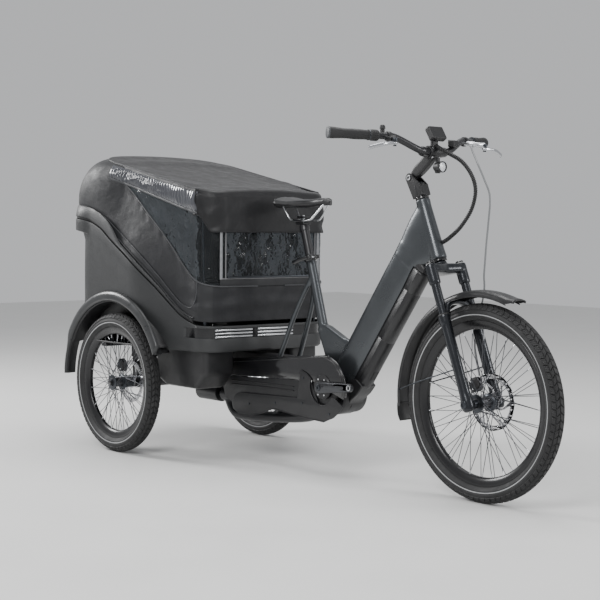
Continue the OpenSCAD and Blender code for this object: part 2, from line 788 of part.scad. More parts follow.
module tub() color("#3c3e40") difference() {
  union() {
    difference() {
      intersection() {
        translate([0, 0, tub_bottom]) linear_extrude(600) plan(0);
        below_rim(0);
      }
      difference() {
        translate([0, 0, tub_bottom + 12]) linear_extrude(600) plan(wall);
        for (y = [well_y - wall, -600]) across(0, rear_r, y, y + 600 - well_y + wall, well_r + wall);
      }
    }
    // upper rim band that overhangs the rear wall
    intersection() {
      translate([0, 0, tub_bottom]) linear_extrude(600) difference() {
        plan(-3, rim_rear);
        plan(wall - 1, tub_rear);
      }
      below_rim(rim_band);
    }
  }
  for (side = [0, 1]) mirror([0, side, 0]) across(0, rear_r, well_y, 600, well_r);
  // recessed band across the front that holds the slats
  translate([0, 0, 449]) linear_extrude(36) difference() {
    plan(-10);
    plan(6);
    translate([-600, -600]) square([955, 1200]);
  }
}

module step_slats() color("#c9cbce")
  for (group = [[-248, -82], [-57, 109]], row = [0 : 2])
    box([472.2, group[0], 451 + 12 * row], [480, group[1], 458 + 12 * row]);

module wheel_arches() color("#101113") both_sides()
  translate([0, 0, rear_r]) rotate([90, 0, 0]) mirror([0, 0, 1]) {
    rotate_extrude(angle = 153, start = 25, $fn = 120)
      translate([well_r - 6, well_y + 1]) square([6 - gap, 385 - well_y - 1]);
    rotate_extrude(angle = 130, start = 25, $fn = 120)
      translate([well_r - gap - 1, tub_half + 4]) square([24, 385 - tub_half - 4]);
    rotate_extrude(angle = 25, start = 154, $fn = 120)
      translate([well_r - gap - 1, well_y + 60]) square([9, 385 - well_y - 60]);
  }

module underbody() color("#161719") both_sides() difference() {
  slab(132, 264) offset(r = 30) polygon([
    [160, 340], [160, 310], [200, 292], [370, 292], [410, 320], [410, 340],
  ]);
  box([130, 100, 356], [460, 300, 420]);
  slab(136, 260) offset(r = 26) polygon([
    [160, 360], [160, 310], [200, 292], [370, 292], [410, 320], [410, 360],
  ]);
}

module tail_lights() color("#7a0d10") both_sides()
  translate([tub_rear - 10.2, 250, 700]) cube([10, 60, 26]);

// --- canopy ----------------------------------------------------------------------------------

shell_rear = -333;
shell_front = -120;
roof_front = 470;
roof_crest = -216;      // where the roof starts to round down to the rear
roof_low = 964;         // height of the roof's front edge
shell_corner = 80;      // radius of the shell's rear corners in plan

// Height of the roof's edge at x: a straight fall to the front and a rounded drop at the rear
function roof_z(x) = x > roof_crest
  ? soft_max(roof_low, roof_top - 0.2135 * (x - roof_crest), 12)
  : mix(roof_low + 6, roof_top, sqrt(max(0, 1 - pow((x - roof_crest) / (shell_rear - roof_crest), 2))));

// How far a corner of a radius draws the side in, at a distance past the corner's start
function corner(radius, past) = radius - sqrt(max(0, radius * radius - pow(max(0, past), 2)));

function base_half(x) = half_at(x) - mix(14, 4, ease((x - 100) / 290))
  - corner(shell_corner, shell_rear + shell_corner - x) - corner(corner_r, x - tub_front + corner_r);
function top_half(x) = min(roof_half, base_half(x) - 1);

// Half width of the canopy at x and a share v of its height
function canopy_y(x, v) = mix(base_half(x), top_half(x), 1 - pow(1 - v, 1.6));

// A point on the canopy's right side
function side_point(x, v) = [x, -canopy_y(x, v), mix(rim_z(x) + 2, roof_z(x), v)];

// One section from the right base over the roof to the left base
function section(x) = let (
    right = concat(
      [for (v = [0, 0.25, 0.5, 0.75, 0.94]) side_point(x, v)],
      [for (t = [0.94, 0.7, 0.35]) [x, -top_half(x) * t, roof_z(x) + 12 * (1 - t * t)]])
  )
  concat(right, [[x, 0, roof_z(x) + 12]],
    [for (i = [len(right) - 1 : -1 : 0]) [right[i][0], -right[i][1], right[i][2]]]);

function roof_row(x, drop) = [for (t = steps(-0.93, 0.93, 10))
  [x, top_half(x) * t, roof_z(x) + 12 * (1 - t * t) - drop]];

shell_middle = [-60, 0, 850];

module rear_shell() color("#1c1d1f") {
  rows = [for (x = concat([shell_rear, -330, -322, -305], steps(-285, shell_front, 6))) section(x)];
  outer = concat([[for (p = rows[0]) [shell_rear, p[1] * 0.02, mix(925, p[2], 0.02)]]], rows);
  inner = [for (row = outer) [for (p = row) shell_middle + (p - shell_middle) * 0.985]];
  skin(outer, inner);
}

module canopy_roof() color("#1d1e20") {
  xs = concat(steps(shell_front + 1, 410, 8), [432, 450, 462, roof_front]);
  skin([for (x = xs) roof_row(x, 0)], [for (x = xs) roof_row(x, sheet)]);
}

// Lower edge of the side window as a share of the height at x
function window_v(x) = let (z = mix(995, 640, pow((x + 4) / 461, 0.92)))
  (z - rim_z(x) - 2) / (roof_z(x) - rim_z(x) - 2);

// A strip of the canopy's side between two lists of height shares
module side_strip(xs, low, high) {
  outer = [for (i = [0 : len(xs) - 1])
    [for (v = steps(low[i], high[i], 5)) side_point(xs[i], v)]];
  skin(outer, [for (row = outer) [for (p = row) p + [0, sheet, 0]]]);
}

side_xs = concat(steps(shell_front + 1, -12, 3), steps(2, 418, 9));

module canopy_sides() color("#232427") both_sides()
  side_strip(side_xs,
    [for (x = side_xs) 0.004],
    [for (x = side_xs) x < 0 ? 0.93 : min(0.93, window_v(x))]);

module side_windows() color("#5a6066", 0.4) both_sides() {
  xs = steps(60, 418, 8);
  side_strip(xs, [for (x = xs) window_v(x) + 0.008], [for (x = xs) 0.93]);
}

// A strip of the curved front wall between two heights
module front_strip(z0, z1) {
  translate([0, 0, z0]) linear_extrude(z1 - z0) difference() {
    plan(1);
    plan(1 + sheet);
    translate([-600, -600]) square([1020, 1200]);
  }
}

module canopy_front() color("#1f2022") {
  front_strip(504, 660);
  difference() {
    front_strip(827, roof_low + 21);
    slab(-400, 400) polygon([
      [400, roof_low + 4], [480, roof_low - 14], [480, roof_low + 36], [400, roof_low + 36],
    ]);
  }
}

module front_window() color("#6a7076", 0.4) front_strip(661, 826);

module window_hem_bar() color("#2a2b2d") {
  rod([tub_front + 4.5, -196, 666], [tub_front + 4.5, 196, 666], 4.5);
  for (side = [-1, 1]) translate([tub_front + 4.5, side * 196, 666]) sphere(4.5);
}

module canopy_hoops() color("#303236") for (x = [-96, 424]) {
  low = rim_z(x) + 4;
  top = roof_z(x) - 14;
  half = top_half(x) - 16;
  foot = min(half, half_at(x) - 34);
  tube([
    [x, -foot, low - 60], [x, -half, mix(low, top, 0.6)], [x, -half + 4, top - 30],
    [x, -half + 40, top], [x, half - 40, top], [x, half - 4, top - 30], [x, half, mix(low, top, 0.6)],
    [x, foot, low - 60],
  ], 7);
}

module bench() color("#26282b") {
  slab(-278, 278) offset(r = 14) polygon([[-196, 584], [50, 584], [60, 604], [-196, 604]]);
  slab(-270, 270) offset(r = 14) polygon([[-236, 640], [-218, 640], [-220, 880], [-236, 880]]);
}

chassis_frame();
tub();
underbody();
wheel_arches();
step_slats();
rear_shell();
canopy_roof();
canopy_sides();
side_windows();
canopy_front();
front_window();
bench();
canopy_hoops();
tail_lights();
rear_calipers();
axle_belt();
window_hem_bar();
rear_tyre_left();
rear_rim_left();
rear_hub_left();
rear_disc_left();
rear_tyre_right();
rear_rim_right();
rear_hub_right();
rear_disc_right();
main_frame();
headset_cups();
motor();
drive_cover();
belt_guard();
drive_belt();
seat_collar();
battery();
tilt_lock_lever();
crankset();
front_pulley();
hub_pulley();
gear_hub();
fork_upper();
stem_base();
fork_lowers();
front_fender();
front_caliper();
front_axle();
front_tyre();
front_rim();
front_hub();
front_disc();
stem_arm();
handlebar();
grips();
controls();
headlight();
brake_lever_left();
brake_lever_right();
twist_shifter();
seatpost();
saddle();
saddle_rails();
qr_lever();
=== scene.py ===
import json
import math

import bmesh
import bpy
import numpy as np
from mathutils import Matrix, Vector, noise


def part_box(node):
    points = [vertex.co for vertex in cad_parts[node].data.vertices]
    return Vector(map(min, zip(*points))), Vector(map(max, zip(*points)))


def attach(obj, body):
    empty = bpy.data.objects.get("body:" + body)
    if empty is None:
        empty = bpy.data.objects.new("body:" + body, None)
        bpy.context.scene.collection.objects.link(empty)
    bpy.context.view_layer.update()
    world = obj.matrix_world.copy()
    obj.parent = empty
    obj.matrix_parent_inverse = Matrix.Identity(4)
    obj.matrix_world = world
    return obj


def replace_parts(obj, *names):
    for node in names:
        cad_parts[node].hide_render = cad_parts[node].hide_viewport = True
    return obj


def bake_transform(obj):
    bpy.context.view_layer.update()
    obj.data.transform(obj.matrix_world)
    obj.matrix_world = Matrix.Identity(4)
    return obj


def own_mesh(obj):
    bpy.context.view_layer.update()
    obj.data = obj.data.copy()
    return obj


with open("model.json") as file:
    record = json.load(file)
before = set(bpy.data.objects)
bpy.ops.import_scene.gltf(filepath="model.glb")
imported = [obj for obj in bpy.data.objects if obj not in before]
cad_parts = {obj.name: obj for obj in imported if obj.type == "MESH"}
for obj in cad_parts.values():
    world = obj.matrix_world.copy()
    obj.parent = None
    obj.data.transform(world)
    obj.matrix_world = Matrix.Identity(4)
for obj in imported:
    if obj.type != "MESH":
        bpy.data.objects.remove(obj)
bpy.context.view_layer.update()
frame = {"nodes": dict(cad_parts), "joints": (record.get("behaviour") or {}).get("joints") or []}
MM = 0.001
UP = Vector((0, 0, 1))


# --- places and sizes read from the frame --------------------------------------------------------

def middle(node):
    low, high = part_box(node)
    return (low + high) / 2


def joint(name):
    return next(j for j in frame["joints"] if j["name"] == name)


def joint_frame(name, forward=Vector((1, 0, 0))):
    """Matrix whose z is the joint's axis, whose y points left, and whose origin is the joint's place."""
    z = Vector(joint(name)["axis"]).normalized()
    y = z.cross(forward).normalized()
    x = y.cross(z).normalized()
    m = Matrix((x, y, z)).transposed().to_4x4()
    m.translation = Vector(joint(name).get("pos_m", (0, 0, 0)))
    return m


STEER = joint_frame("steering")
STEER_UP = STEER.to_3x3() @ UP
FRONT_HUB = middle("front_tyre")
FRONT_R = (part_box("front_tyre")[1].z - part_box("front_tyre")[0].z) / 2
REAR_R = (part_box("rear_tyre_left")[1].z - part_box("rear_tyre_left")[0].z) / 2
REAR_Y = middle("rear_tyre_left").y
REAR_HUB = Vector((0, 0, REAR_R))
CRANK = Vector(joint("crank_spin")["pos_m"])
GEAR_HUB = Vector(joint("gear_hub_spin")["pos_m"])
STEM_PIVOT = Vector(joint("stem_angle")["pos_m"])
GRIP_START = Vector(joint("gear_twist")["pos_m"])            # right end of the bend, where the grip starts
GRIP_DIR = Vector(joint("gear_twist")["axis"])
LEVER_PIVOT = Vector(joint("brake_lever_left_pull")["pos_m"])
SEAT_DIR = Vector(joint("seat_height")["axis"])
DOWN_OUT = Vector(joint("battery_release")["axis"])          # away from the down tube, square to it
DOWN_UP = Vector((-DOWN_OUT.z, 0, DOWN_OUT.x))               # up along the down tube
TUB_LOW, TUB_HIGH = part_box("tub")
FORK_OFFSET, _, AXLE_S = STEER.inverted() @ Vector((FRONT_HUB.x, 0, FRONT_HUB.z))
LEG_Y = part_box("fork_lowers")[1].y - 19.5 * MM
SEAL_S = AXLE_S + 290 * MM


def steer(u, y, s):
    """A point in the steering frame: u ahead of the axis, y left, s up along it."""
    return STEER @ Vector((u, y, s))


# --- materials -----------------------------------------------------------------------------------

class Shader:
    """A node material that is put together step by step."""

    def __init__(self, name, color, rough, metal=0.0):
        self.material = bpy.data.materials.new(name)
        self.material.use_nodes = True
        self.tree = self.material.node_tree
        self.bsdf = self.tree.nodes["Principled BSDF"]
        self.set("Base Color", (*color, 1))
        self.set("Roughness", rough)
        self.set("Metallic", metal)
        self.coords = self.tree.nodes.new("ShaderNodeTexCoord").outputs["Object"]
        self.color, self.rough, self.normal = color, rough, None

    def set(self, socket, value):
        self.bsdf.inputs[socket].default_value = value

    def node(self, kind, inputs=(), **settings):
        made = self.tree.nodes.new("ShaderNode" + kind)
        for key, value in settings.items():
            setattr(made, key, value)
        for key, value in dict(inputs).items():
            if hasattr(value, "is_linked"):
                self.tree.links.new(value, made.inputs[key])
            else:
                made.inputs[key].default_value = value
        return made

    def noise(self, scale, detail=4, rough=0.55, stretch=(1, 1, 1)):
        place = self.node("Mapping", {"Vector": self.coords, "Scale": stretch})
        return self.node("TexNoise", {
            "Vector": place.outputs[0], "Scale": scale, "Detail": detail, "Roughness": rough,
        }).outputs["Fac"]

    def cells(self, scale):
        return self.node("TexVoronoi", {"Vector": self.coords, "Scale": scale}).outputs["Distance"]

    def waves(self, scale, direction, distortion=0.0):
        return self.node("TexWave", {
            "Vector": self.coords, "Scale": scale, "Distortion": distortion,
        }, bands_direction=direction).outputs["Fac"]

    def maths(self, operation, a, b):
        return self.node("Math", {0: a, 1: b}, operation=operation).outputs[0]

    def spread(self, fac, low, high):
        """Maps a 0 to 1 value onto low to high."""
        return self.node("MapRange", {
            "Value": fac, "From Min": 0.3, "From Max": 0.7, "To Min": low, "To Max": high,
        }).outputs[0]

    def vary_color(self, fac, other):
        """Mixes the base colour with another one."""
        mixed = self.node("MixRGB", {"Fac": fac, "Color1": (*self.color, 1), "Color2": (*other, 1)})
        self.tree.links.new(mixed.outputs[0], self.bsdf.inputs["Base Color"])
        return self

    def vary_rough(self, fac, low, high):
        self.tree.links.new(self.spread(fac, low, high), self.bsdf.inputs["Roughness"])
        return self

    def bump(self, height, strength, distance):
        link = {"Height": height, "Strength": strength, "Distance": distance}
        if self.normal:
            link["Normal"] = self.normal
        self.normal = self.node("Bump", link).outputs["Normal"]
        self.tree.links.new(self.normal, self.bsdf.inputs["Normal"])
        return self

    def coat(self, weight, rough):
        self.set("Coat Weight", weight)
        self.set("Coat Roughness", rough)
        return self


def paint(name, color, rough, metal, flake=0.05):
    """Satin metallic paint: fine flake, faint orange peel and a clear coat."""
    s = Shader(name, color, rough, metal)
    light = tuple(min(1, c * 1.5 + 0.01) for c in color)
    s.vary_color(s.spread(s.noise(900, 2), 0, 0.5), light)
    s.vary_rough(s.noise(14), rough - 0.05, rough + 0.07)
    s.bump(s.noise(260, 2), flake, 0.0004)
    return s.coat(0.25, 0.25).material


def plastic(name, color, rough, grain=900, depth=0.25):
    """Moulded plastic with a leather-like grain and slight wear."""
    s = Shader(name, color, rough)
    s.vary_color(s.spread(s.noise(7, 6), 0, 0.6), tuple(c * 1.25 + 0.004 for c in color))
    s.vary_rough(s.noise(30), rough - 0.07, rough + 0.08)
    s.bump(s.cells(grain), depth, 0.0005)
    s.bump(s.noise(grain * 0.6, 3), depth * 0.6, 0.0004)
    return s.material


def gloss(name, color, rough=0.12):
    s = Shader(name, color, rough)
    s.vary_color(s.spread(s.noise(5, 5), 0, 0.5), tuple(c * 1.4 + 0.003 for c in color))
    s.vary_rough(s.noise(40, 6), rough, rough + 0.13)
    s.bump(s.noise(90, 2), 0.03, 0.0004)
    return s.coat(0.6, 0.08).material


def metal(name, color, rough, stretch=(1, 1, 1), scale=300, brush=0.12):
    """Brushed or cast metal: fine lines along one direction and uneven polish."""
    s = Shader(name, color, rough, 1.0)
    s.vary_color(s.spread(s.noise(18, 6), 0, 0.5), tuple(c * 0.75 for c in color))
    s.vary_rough(s.noise(scale, 4, 0.7, stretch), rough - 0.08, rough + 0.12)
    s.bump(s.noise(scale, 3, 0.6, stretch), brush, 0.0003)
    return s.material


def fabric(name, color, rough, pitch, depth=0.35, sheen=0.25, folds=0.35):
    """Woven cloth: two crossed thread directions, soft creases and a little sheen."""
    s = Shader(name, color, rough)
    thread = 1 / pitch * 0.31
    warp = s.maths("MAXIMUM", s.waves(thread, "X", 0.4), s.waves(thread, "Z", 0.4))
    weft = s.maths("MAXIMUM", warp, s.waves(thread, "Y", 0.4))
    s.vary_color(s.spread(s.noise(9, 6), 0, 0.7), tuple(c * 1.5 + 0.004 for c in color))
    s.vary_rough(s.noise(25, 5), rough - 0.12, rough + 0.1)
    s.bump(s.noise(11, 5, 0.6), folds, 0.012)
    s.bump(weft, depth, 0.0004)
    s.set("Specular IOR Level", 0.35)
    s.set("Sheen Weight", sheen)
    s.set("Sheen Roughness", 0.4)
    return s.material


def rubber(name, color, rough, depth=0.3):
    s = Shader(name, color, rough)
    s.vary_color(s.spread(s.noise(12, 6), 0, 0.8), tuple(c * 1.7 + 0.006 for c in color))
    s.vary_rough(s.noise(50, 5), rough - 0.1, rough + 0.08)
    s.bump(s.noise(500, 4), depth, 0.0004)
    return s.material


def foil(name):
    """Clear film that crinkles: mostly see-through, with bright bent highlights."""
    s = Shader(name, (0.55, 0.57, 0.6), 0.07)
    s.bump(s.noise(12, 3, 0.5), 0.6, 0.03)
    s.bump(s.noise(55, 2, 0.5), 0.3, 0.006)
    clear = s.node("BsdfTransparent", {"Color": (0.8, 0.82, 0.84, 1)})
    glint = s.node("Fresnel", {"IOR": 1.55, "Normal": s.normal})
    share = s.maths("ADD", s.spread(s.noise(20, 4), 0.0, 0.05), glint.outputs[0])
    mixed = s.node("MixShader", {0: share, 1: clear.outputs[0], 2: s.bsdf.outputs[0]})
    s.tree.links.new(mixed.outputs[0], s.tree.nodes["Material Output"].inputs["Surface"])
    s.set("Specular IOR Level", 0.9)
    s.set("Base Color", (0.16, 0.17, 0.18, 1))
    return s.material


def leather(name, color, rough):
    s = Shader(name, color, rough)
    s.vary_color(s.spread(s.noise(20, 6), 0, 0.6), tuple(c * 1.6 + 0.004 for c in color))
    s.vary_rough(s.noise(60, 5), rough - 0.06, rough + 0.1)
    s.bump(s.cells(420), 0.35, 0.0005)
    s.bump(s.noise(700, 3), 0.2, 0.0003)
    return s.coat(0.12, 0.35).material


def lens(name, color):
    s = Shader(name, color, 0.08)
    s.vary_color(s.spread(s.cells(260), 0, 0.6), tuple(min(1, c * 1.6 + 0.02) for c in color))
    s.bump(s.cells(260), 0.6, 0.001)
    return s.coat(1.0, 0.03).material


# A material's name up to its dot is its slot in the record
FRAME_PAINT = paint("frame_paint", (0.050, 0.055, 0.060), 0.30, 0.7)
DARK_PAINT = paint("dark_paint", (0.010, 0.010, 0.012), 0.36, 0.25)
FORK_PAINT = paint("fork_paint", (0.014, 0.016, 0.020), 0.22, 0.55, 0.02)
TUB = plastic("tub_plastic", (0.021, 0.022, 0.023), 0.5, 420, 0.5)
TUB_SATIN = plastic("tub_plastic.satin", (0.021, 0.022, 0.023), 0.33, 900, 0.15)
BLACK = plastic("black_plastic", (0.008, 0.008, 0.009), 0.45, 1200, 0.2)
GREY = plastic("grey_plastic", (0.045, 0.048, 0.052), 0.45, 1000, 0.2)
GLOSS = gloss("gloss_black", (0.006, 0.006, 0.007))
SATIN = plastic("black_plastic.satin", (0.009, 0.009, 0.010), 0.38, 1200, 0.12)
HOSE = plastic("grey_plastic.hose", (0.16, 0.165, 0.17), 0.4, 1500, 0.1)
CANOPY = fabric("canopy_fabric", (0.0065, 0.0065, 0.0075), 0.5, 0.0012, 0.35, 0.05)
PANEL = fabric("panel_fabric", (0.0085, 0.0088, 0.0105), 0.6, 0.0016, 0.35, 0.05)
SHELL_FABRIC = fabric("shell_fabric", (0.0125, 0.013, 0.0145), 0.55, 0.0014, 0.35, 0.06, 0.2)
# Light grey thread for the stitches; on the front window's zips it is also a painted highlight
STITCH_AND_HIGHLIGHT = fabric("stitch_thread", (0.12, 0.12, 0.125), 0.5, 0.0005, 0.3, 0.1, 0.05)
# Zip tape made light grey: a painted highlight along the front window's zips
ZIP_HIGHLIGHT = gloss("zip_tape", (0.20, 0.205, 0.215), 0.2)
PIPING = fabric("piping", (0.035, 0.036, 0.039), 0.4, 0.0009, 0.3, 0.1, 0.1)
WEBBING = fabric("webbing", (0.012, 0.012, 0.013), 0.7, 0.0022, 0.8, 0.2, 0.1)
SEAT_FABRIC = fabric("seat_fabric", (0.030, 0.032, 0.036), 0.8, 0.002, 0.7, 0.4, 0.25)
FOIL = foil("window_foil")
CRINKLE = gloss("crinkled_curtain", (0.045, 0.047, 0.055), 0.14)
LEATHER = leather("saddle_cover", (0.008, 0.008, 0.009), 0.42)
RUBBER = rubber("rubber_black", (0.006, 0.006, 0.0065), 0.6)
TYRE = rubber("tyre_rubber", (0.010, 0.010, 0.0105), 0.66, 0.4)
STRIPE = fabric("reflective_stripe", (0.30, 0.305, 0.31), 0.4, 0.0008, 0.3, 0.1, 0.02)
RIM = paint("rim_black", (0.007, 0.007, 0.008), 0.28, 0.4)
HUB = metal("hub_metal", (0.065, 0.07, 0.078), 0.34)
ALLOY = metal("bright_metal", (0.70, 0.71, 0.73), 0.27, (1, 0.05, 1), 500)
STEEL = metal("disc_steel", (0.62, 0.62, 0.64), 0.25, (1, 1, 1), 700)
CRANK_METAL = metal("crank_metal", (0.085, 0.087, 0.092), 0.38)
LEVER_METAL = metal("lever_metal", (0.55, 0.56, 0.58), 0.22)
RED = lens("red_lens", (0.42, 0.008, 0.01))
CLEAR = lens("window_foil.lamp", (0.62, 0.64, 0.68))
SCREEN = gloss("display_glass", (0.01, 0.011, 0.013), 0.06)


# --- mesh helpers --------------------------------------------------------------------------------

def add_piece(name, verts, faces, material, body, smooth=42):
    """Makes an object of a mesh in the frame's metres, smooth except across sharp edges, riding on a body."""
    mesh = bpy.data.meshes.new(name)
    mesh.from_pydata([tuple(v) for v in verts], [], [tuple(f) for f in faces])
    mesh.validate()
    fix = bmesh.new()
    fix.from_mesh(mesh)
    bmesh.ops.recalc_face_normals(fix, faces=fix.faces)
    fix.to_mesh(mesh)
    fix.free()
    for p in mesh.polygons:
        p.use_smooth = True
    mesh.set_sharp_from_angle(angle=math.radians(smooth))
    materials = material if isinstance(material, (list, tuple)) else [material]
    for m in materials:
        mesh.materials.append(m)
    piece = bpy.data.objects.new(name, mesh)
    bpy.context.scene.collection.objects.link(piece)
    if body:
        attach(piece, body)
    return piece


def grid_faces(rows, cols, wrap_rows=False, wrap_cols=False):
    return [
        (i * cols + j, i * cols + (j + 1) % cols, (i + 1) % rows * cols + (j + 1) % cols,
         (i + 1) % rows * cols + j)
        for i in range(rows if wrap_rows else rows - 1)
        for j in range(cols if wrap_cols else cols - 1)
    ]


def sheet(name, rows, material, body, thick=0.0, smooth=42, wrap=False):
    """An open sheet through a grid of points, with thickness."""
    verts = [p for row in rows for p in row]
    piece = add_piece(name, verts, grid_faces(len(rows), len(rows[0]), wrap), material, body, smooth)
    if thick:
        solid = piece.modifiers.new("thickness", "SOLIDIFY")
        solid.thickness = thick
        solid.offset = 0
    return piece


def loft(name, rings, material, body, smooth=42, closed=False):
    """A closed skin over a row of rings, capped at both ends unless it closes on itself."""
    n = len(rings[0])
    verts = [p for ring in rings for p in ring]
    faces = grid_faces(len(rings), n, closed, True)
    if not closed:
        for start in (0, (len(rings) - 1) * n):
            faces.append(tuple(range(start, start + n)))
    return add_piece(name, verts, faces, material, body, smooth)


def curve_points(points, per_span=8, closed=False):
    """A smooth line through the points (Catmull-Rom)."""
    pts = [Vector(p) for p in points]
    if closed:
        pts = [pts[-1]] + pts + [pts[0], pts[1]]
    else:
        pts = [2 * pts[0] - pts[1]] + pts + [2 * pts[-1] - pts[-2]]
    out = []
    for i in range(1, len(pts) - 2):
        a, b, c, d = pts[i - 1: i + 3]
        for k in range(per_span):
            t = k / per_span
            out.append(0.5 * (2 * b + (c - a) * t + (2 * a - 5 * b + 4 * c - d) * t * t
                              + (3 * b - a - 3 * c + d) * t ** 3))
    if not closed:
        out.append(pts[-2])
    return out


def sweep_rings(path, section, start_normal=None, closed=False):
    """Rings of section(t) points (x, y) carried along a path without twist."""
    n = len(path)
    tangents = []
    for i in range(n):
        ahead = path[(i + 1) % n] if closed or i < n - 1 else path[i]
        back = path[i - 1] if closed or i > 0 else path[i]
        tangents.append((ahead - back).normalized())
    side = start_normal or (UP if abs(tangents[0].z) < 0.9 else Vector((1, 0, 0)))
    rings = []
    for i, t in enumerate(tangents):
        side = (side - t * side.dot(t)).normalized()
        other = t.cross(side)
        share = i / max(1, n - 1)
        rings.append([path[i] + side * q[0] + other * q[1] for q in section(share)])
    return rings


def circle(radius, sides=16):
    return [(radius * math.cos(2 * math.pi * k / sides), radius * math.sin(2 * math.pi * k / sides))
            for k in range(sides)]


def super_ring(a, b, power=2.6, sides=32):
    """A rounded rectangle of half sizes a and b."""
    out = []
    for k in range(sides):
        c, s = math.cos(2 * math.pi * k / sides), math.sin(2 * math.pi * k / sides)
        out.append((a * math.copysign(abs(c) ** (2 / power), c), b * math.copysign(abs(s) ** (2 / power), s)))
    return out


def tube(name, points, radius, material, body, sides=16, per_span=8, closed=False):
    """A round tube along a smooth line; radius is a number or a function of the share of its length."""
    path = curve_points(points, per_span, closed) if per_span else [Vector(p) for p in points]
    size = radius if callable(radius) else (lambda t: radius)
    return loft(name, sweep_rings(path, lambda t: circle(size(t), sides), None, closed), material, body, 50,
                closed)


def turned(name, profile, centre, axis, material, body, sides=64, closed=True, smooth=35):
    """A turned shape: profile points are (radius, distance along the axis)."""
    z = Vector(axis).normalized()
    x = z.orthogonal().normalized()
    y = z.cross(x)
    rings = [[centre + z * h + (x * math.cos(a) + y * math.sin(a)) * r for r, h in profile]
             for a in (2 * math.pi * k / sides for k in range(sides))]
    verts = [p for ring in rings for p in ring]
    faces = grid_faces(sides, len(profile), True, closed)
    return add_piece(name, verts, faces, material, body, smooth)


def soften(piece, width, segments=3, angle=35):
    """Rounds the edges of a hard-edged piece."""
    bevel = piece.modifiers.new("rounding", "BEVEL")
    bevel.width = width
    bevel.segments = segments
    bevel.limit_method = "ANGLE"
    bevel.angle_limit = math.radians(angle)
    bevel.harden_normals = True
    return piece


def slab(name, outline, y0, y1, material, body, rounding=1.5 * MM):
    """A side-view outline of (x, z) points given thickness across the trike."""
    n = len(outline)
    verts = [Vector((x, y0, z)) for x, z in outline] + [Vector((x, y1, z)) for x, z in outline]
    faces = [tuple(range(n)), tuple(range(2 * n - 1, n - 1, -1))]
    faces += [(i, (i + 1) % n, n + (i + 1) % n, n + i) for i in range(n)]
    return soften(add_piece(name, verts, faces, material, body, 30), rounding)


def block(name, centre, size, material, body, rounding=2 * MM, turn=None, taper=1.0):
    """A rounded box with a tapered top, turned by a matrix about its centre."""
    hx, hy, hz = (s / 2 for s in size)
    corners = []
    for z in (-1, 1):
        k = taper if z > 0 else 1
        corners += [Vector((x * hx * k, y * hy * k, z * hz)) for x, y in ((-1, -1), (1, -1), (1, 1), (-1, 1))]
    m = turn or Matrix.Identity(3)
    verts = [centre + m @ c for c in corners]
    faces = [(0, 1, 2, 3), (4, 5, 6, 7), (0, 1, 5, 4), (1, 2, 6, 5), (2, 3, 7, 6), (3, 0, 4, 7)]
    return soften(add_piece(name, verts, faces, material, body, 30), rounding)


def repaint(node, material):
    """Gives a carried-over CAD node its material."""
    slots = frame["nodes"][node].data.materials
    for i in range(len(slots)):
        slots[i] = material
    if not slots:
        slots.append(material)


def lerp(a, b, t):
    return a + (b - a) * t


def ease(t):
    c = min(1.0, max(0.0, t))
    return c * c * (3 - 2 * c)


def steps(a, b, n):
    return [a + (b - a) * i / n for i in range(n + 1)]


def ripple(point, scale, seed=0.0):
    """Smooth repeatable unevenness between about -1 and 1."""
    return noise.noise(Vector(point) * scale + Vector((seed, seed * 1.7, seed * 2.3)))


def P(x, y, z):
    """A point given in millimetres."""
    return Vector((x, y, z)) * MM


def mm(*points):
    """Flat points given in millimetres."""
    return [(a * MM, b * MM) for a, b in points]


def full_turn(count):
    """Even angles round a full turn."""
    return steps(0, 2 * math.pi, count)[:-1]


def hand(side):
    return "left" if side > 0 else "right"


def rods(name, pairs, radius, material, body, sides=8):
    """Many straight rods in one mesh, each from one point to another."""
    verts, faces = [], []
    for a, b in pairs:
        rings = sweep_rings([a, b], lambda t: circle(radius, sides))
        start = len(verts)
        verts += rings[0] + rings[1]
        faces += [tuple(start + i for i in f) for f in grid_faces(2, sides, False, True)]
        faces += [tuple(range(start, start + sides)), tuple(range(start + sides, start + 2 * sides))]
    return add_piece(name, verts, faces, material, body, 50)


def plate(name, loops, thick, place, material, body, rounding=0.5 * MM):
    """A flat plate from outlines (the first encloses the holes), centred on its middle plane."""
    curve = bpy.data.curves.new(name, "CURVE")
    curve.dimensions = "2D"
    curve.fill_mode = "BOTH"
    curve.extrude = max(thick / 2 - rounding, 0.0)
    curve.bevel_depth = rounding
    curve.bevel_resolution = 2
    curve.offset = -rounding
    for loop in loops:
        spline = curve.splines.new("POLY")
        spline.use_cyclic_u = True
        spline.points.add(len(loop) - 1)
        for point, (u, v) in zip(spline.points, loop):
            point.co = (u, v, 0, 1)
    holder = bpy.data.objects.new(name, curve)
    mesh = bpy.data.meshes.new_from_object(holder)
    bpy.data.objects.remove(holder)
    verts = [place @ v.co for v in mesh.vertices]
    faces = [tuple(p.vertices) for p in mesh.polygons]
    bpy.data.meshes.remove(mesh)
    piece = add_piece(name, verts, faces, material, body, 30)
    weld = piece.modifiers.new("weld", "WELD")
    weld.merge_threshold = 0.02 * MM
    return piece


def arc(centre, radius, start, end, n):
    """Points on an arc in degrees."""
    return [(centre[0] + radius * math.cos(math.radians(a)), centre[1] + radius * math.sin(math.radians(a)))
            for a in steps(start, end, n)]


def side_plane(x, y, z):
    """Places a plate's outline in side view: u forward, v up, thickness across."""
    m = Matrix(((1, 0, 0), (0, 0, -1), (0, 1, 0))).to_4x4()
    m.translation = (x, y, z)
    return m


# --- wheels --------------------------------------------------------------------------------------

CASING = 30 * MM
TREAD = 3.8 * MM
BEAD = 55 * MM
RIM_HALF = 16 * MM
RIM_DEPTH = 25 * MM
TREAD_EDGE = math.radians(66)
STRIPE_START = math.radians(96)
STRIPE_END = math.radians(102)
BEAD_ANGLE = math.radians(144)


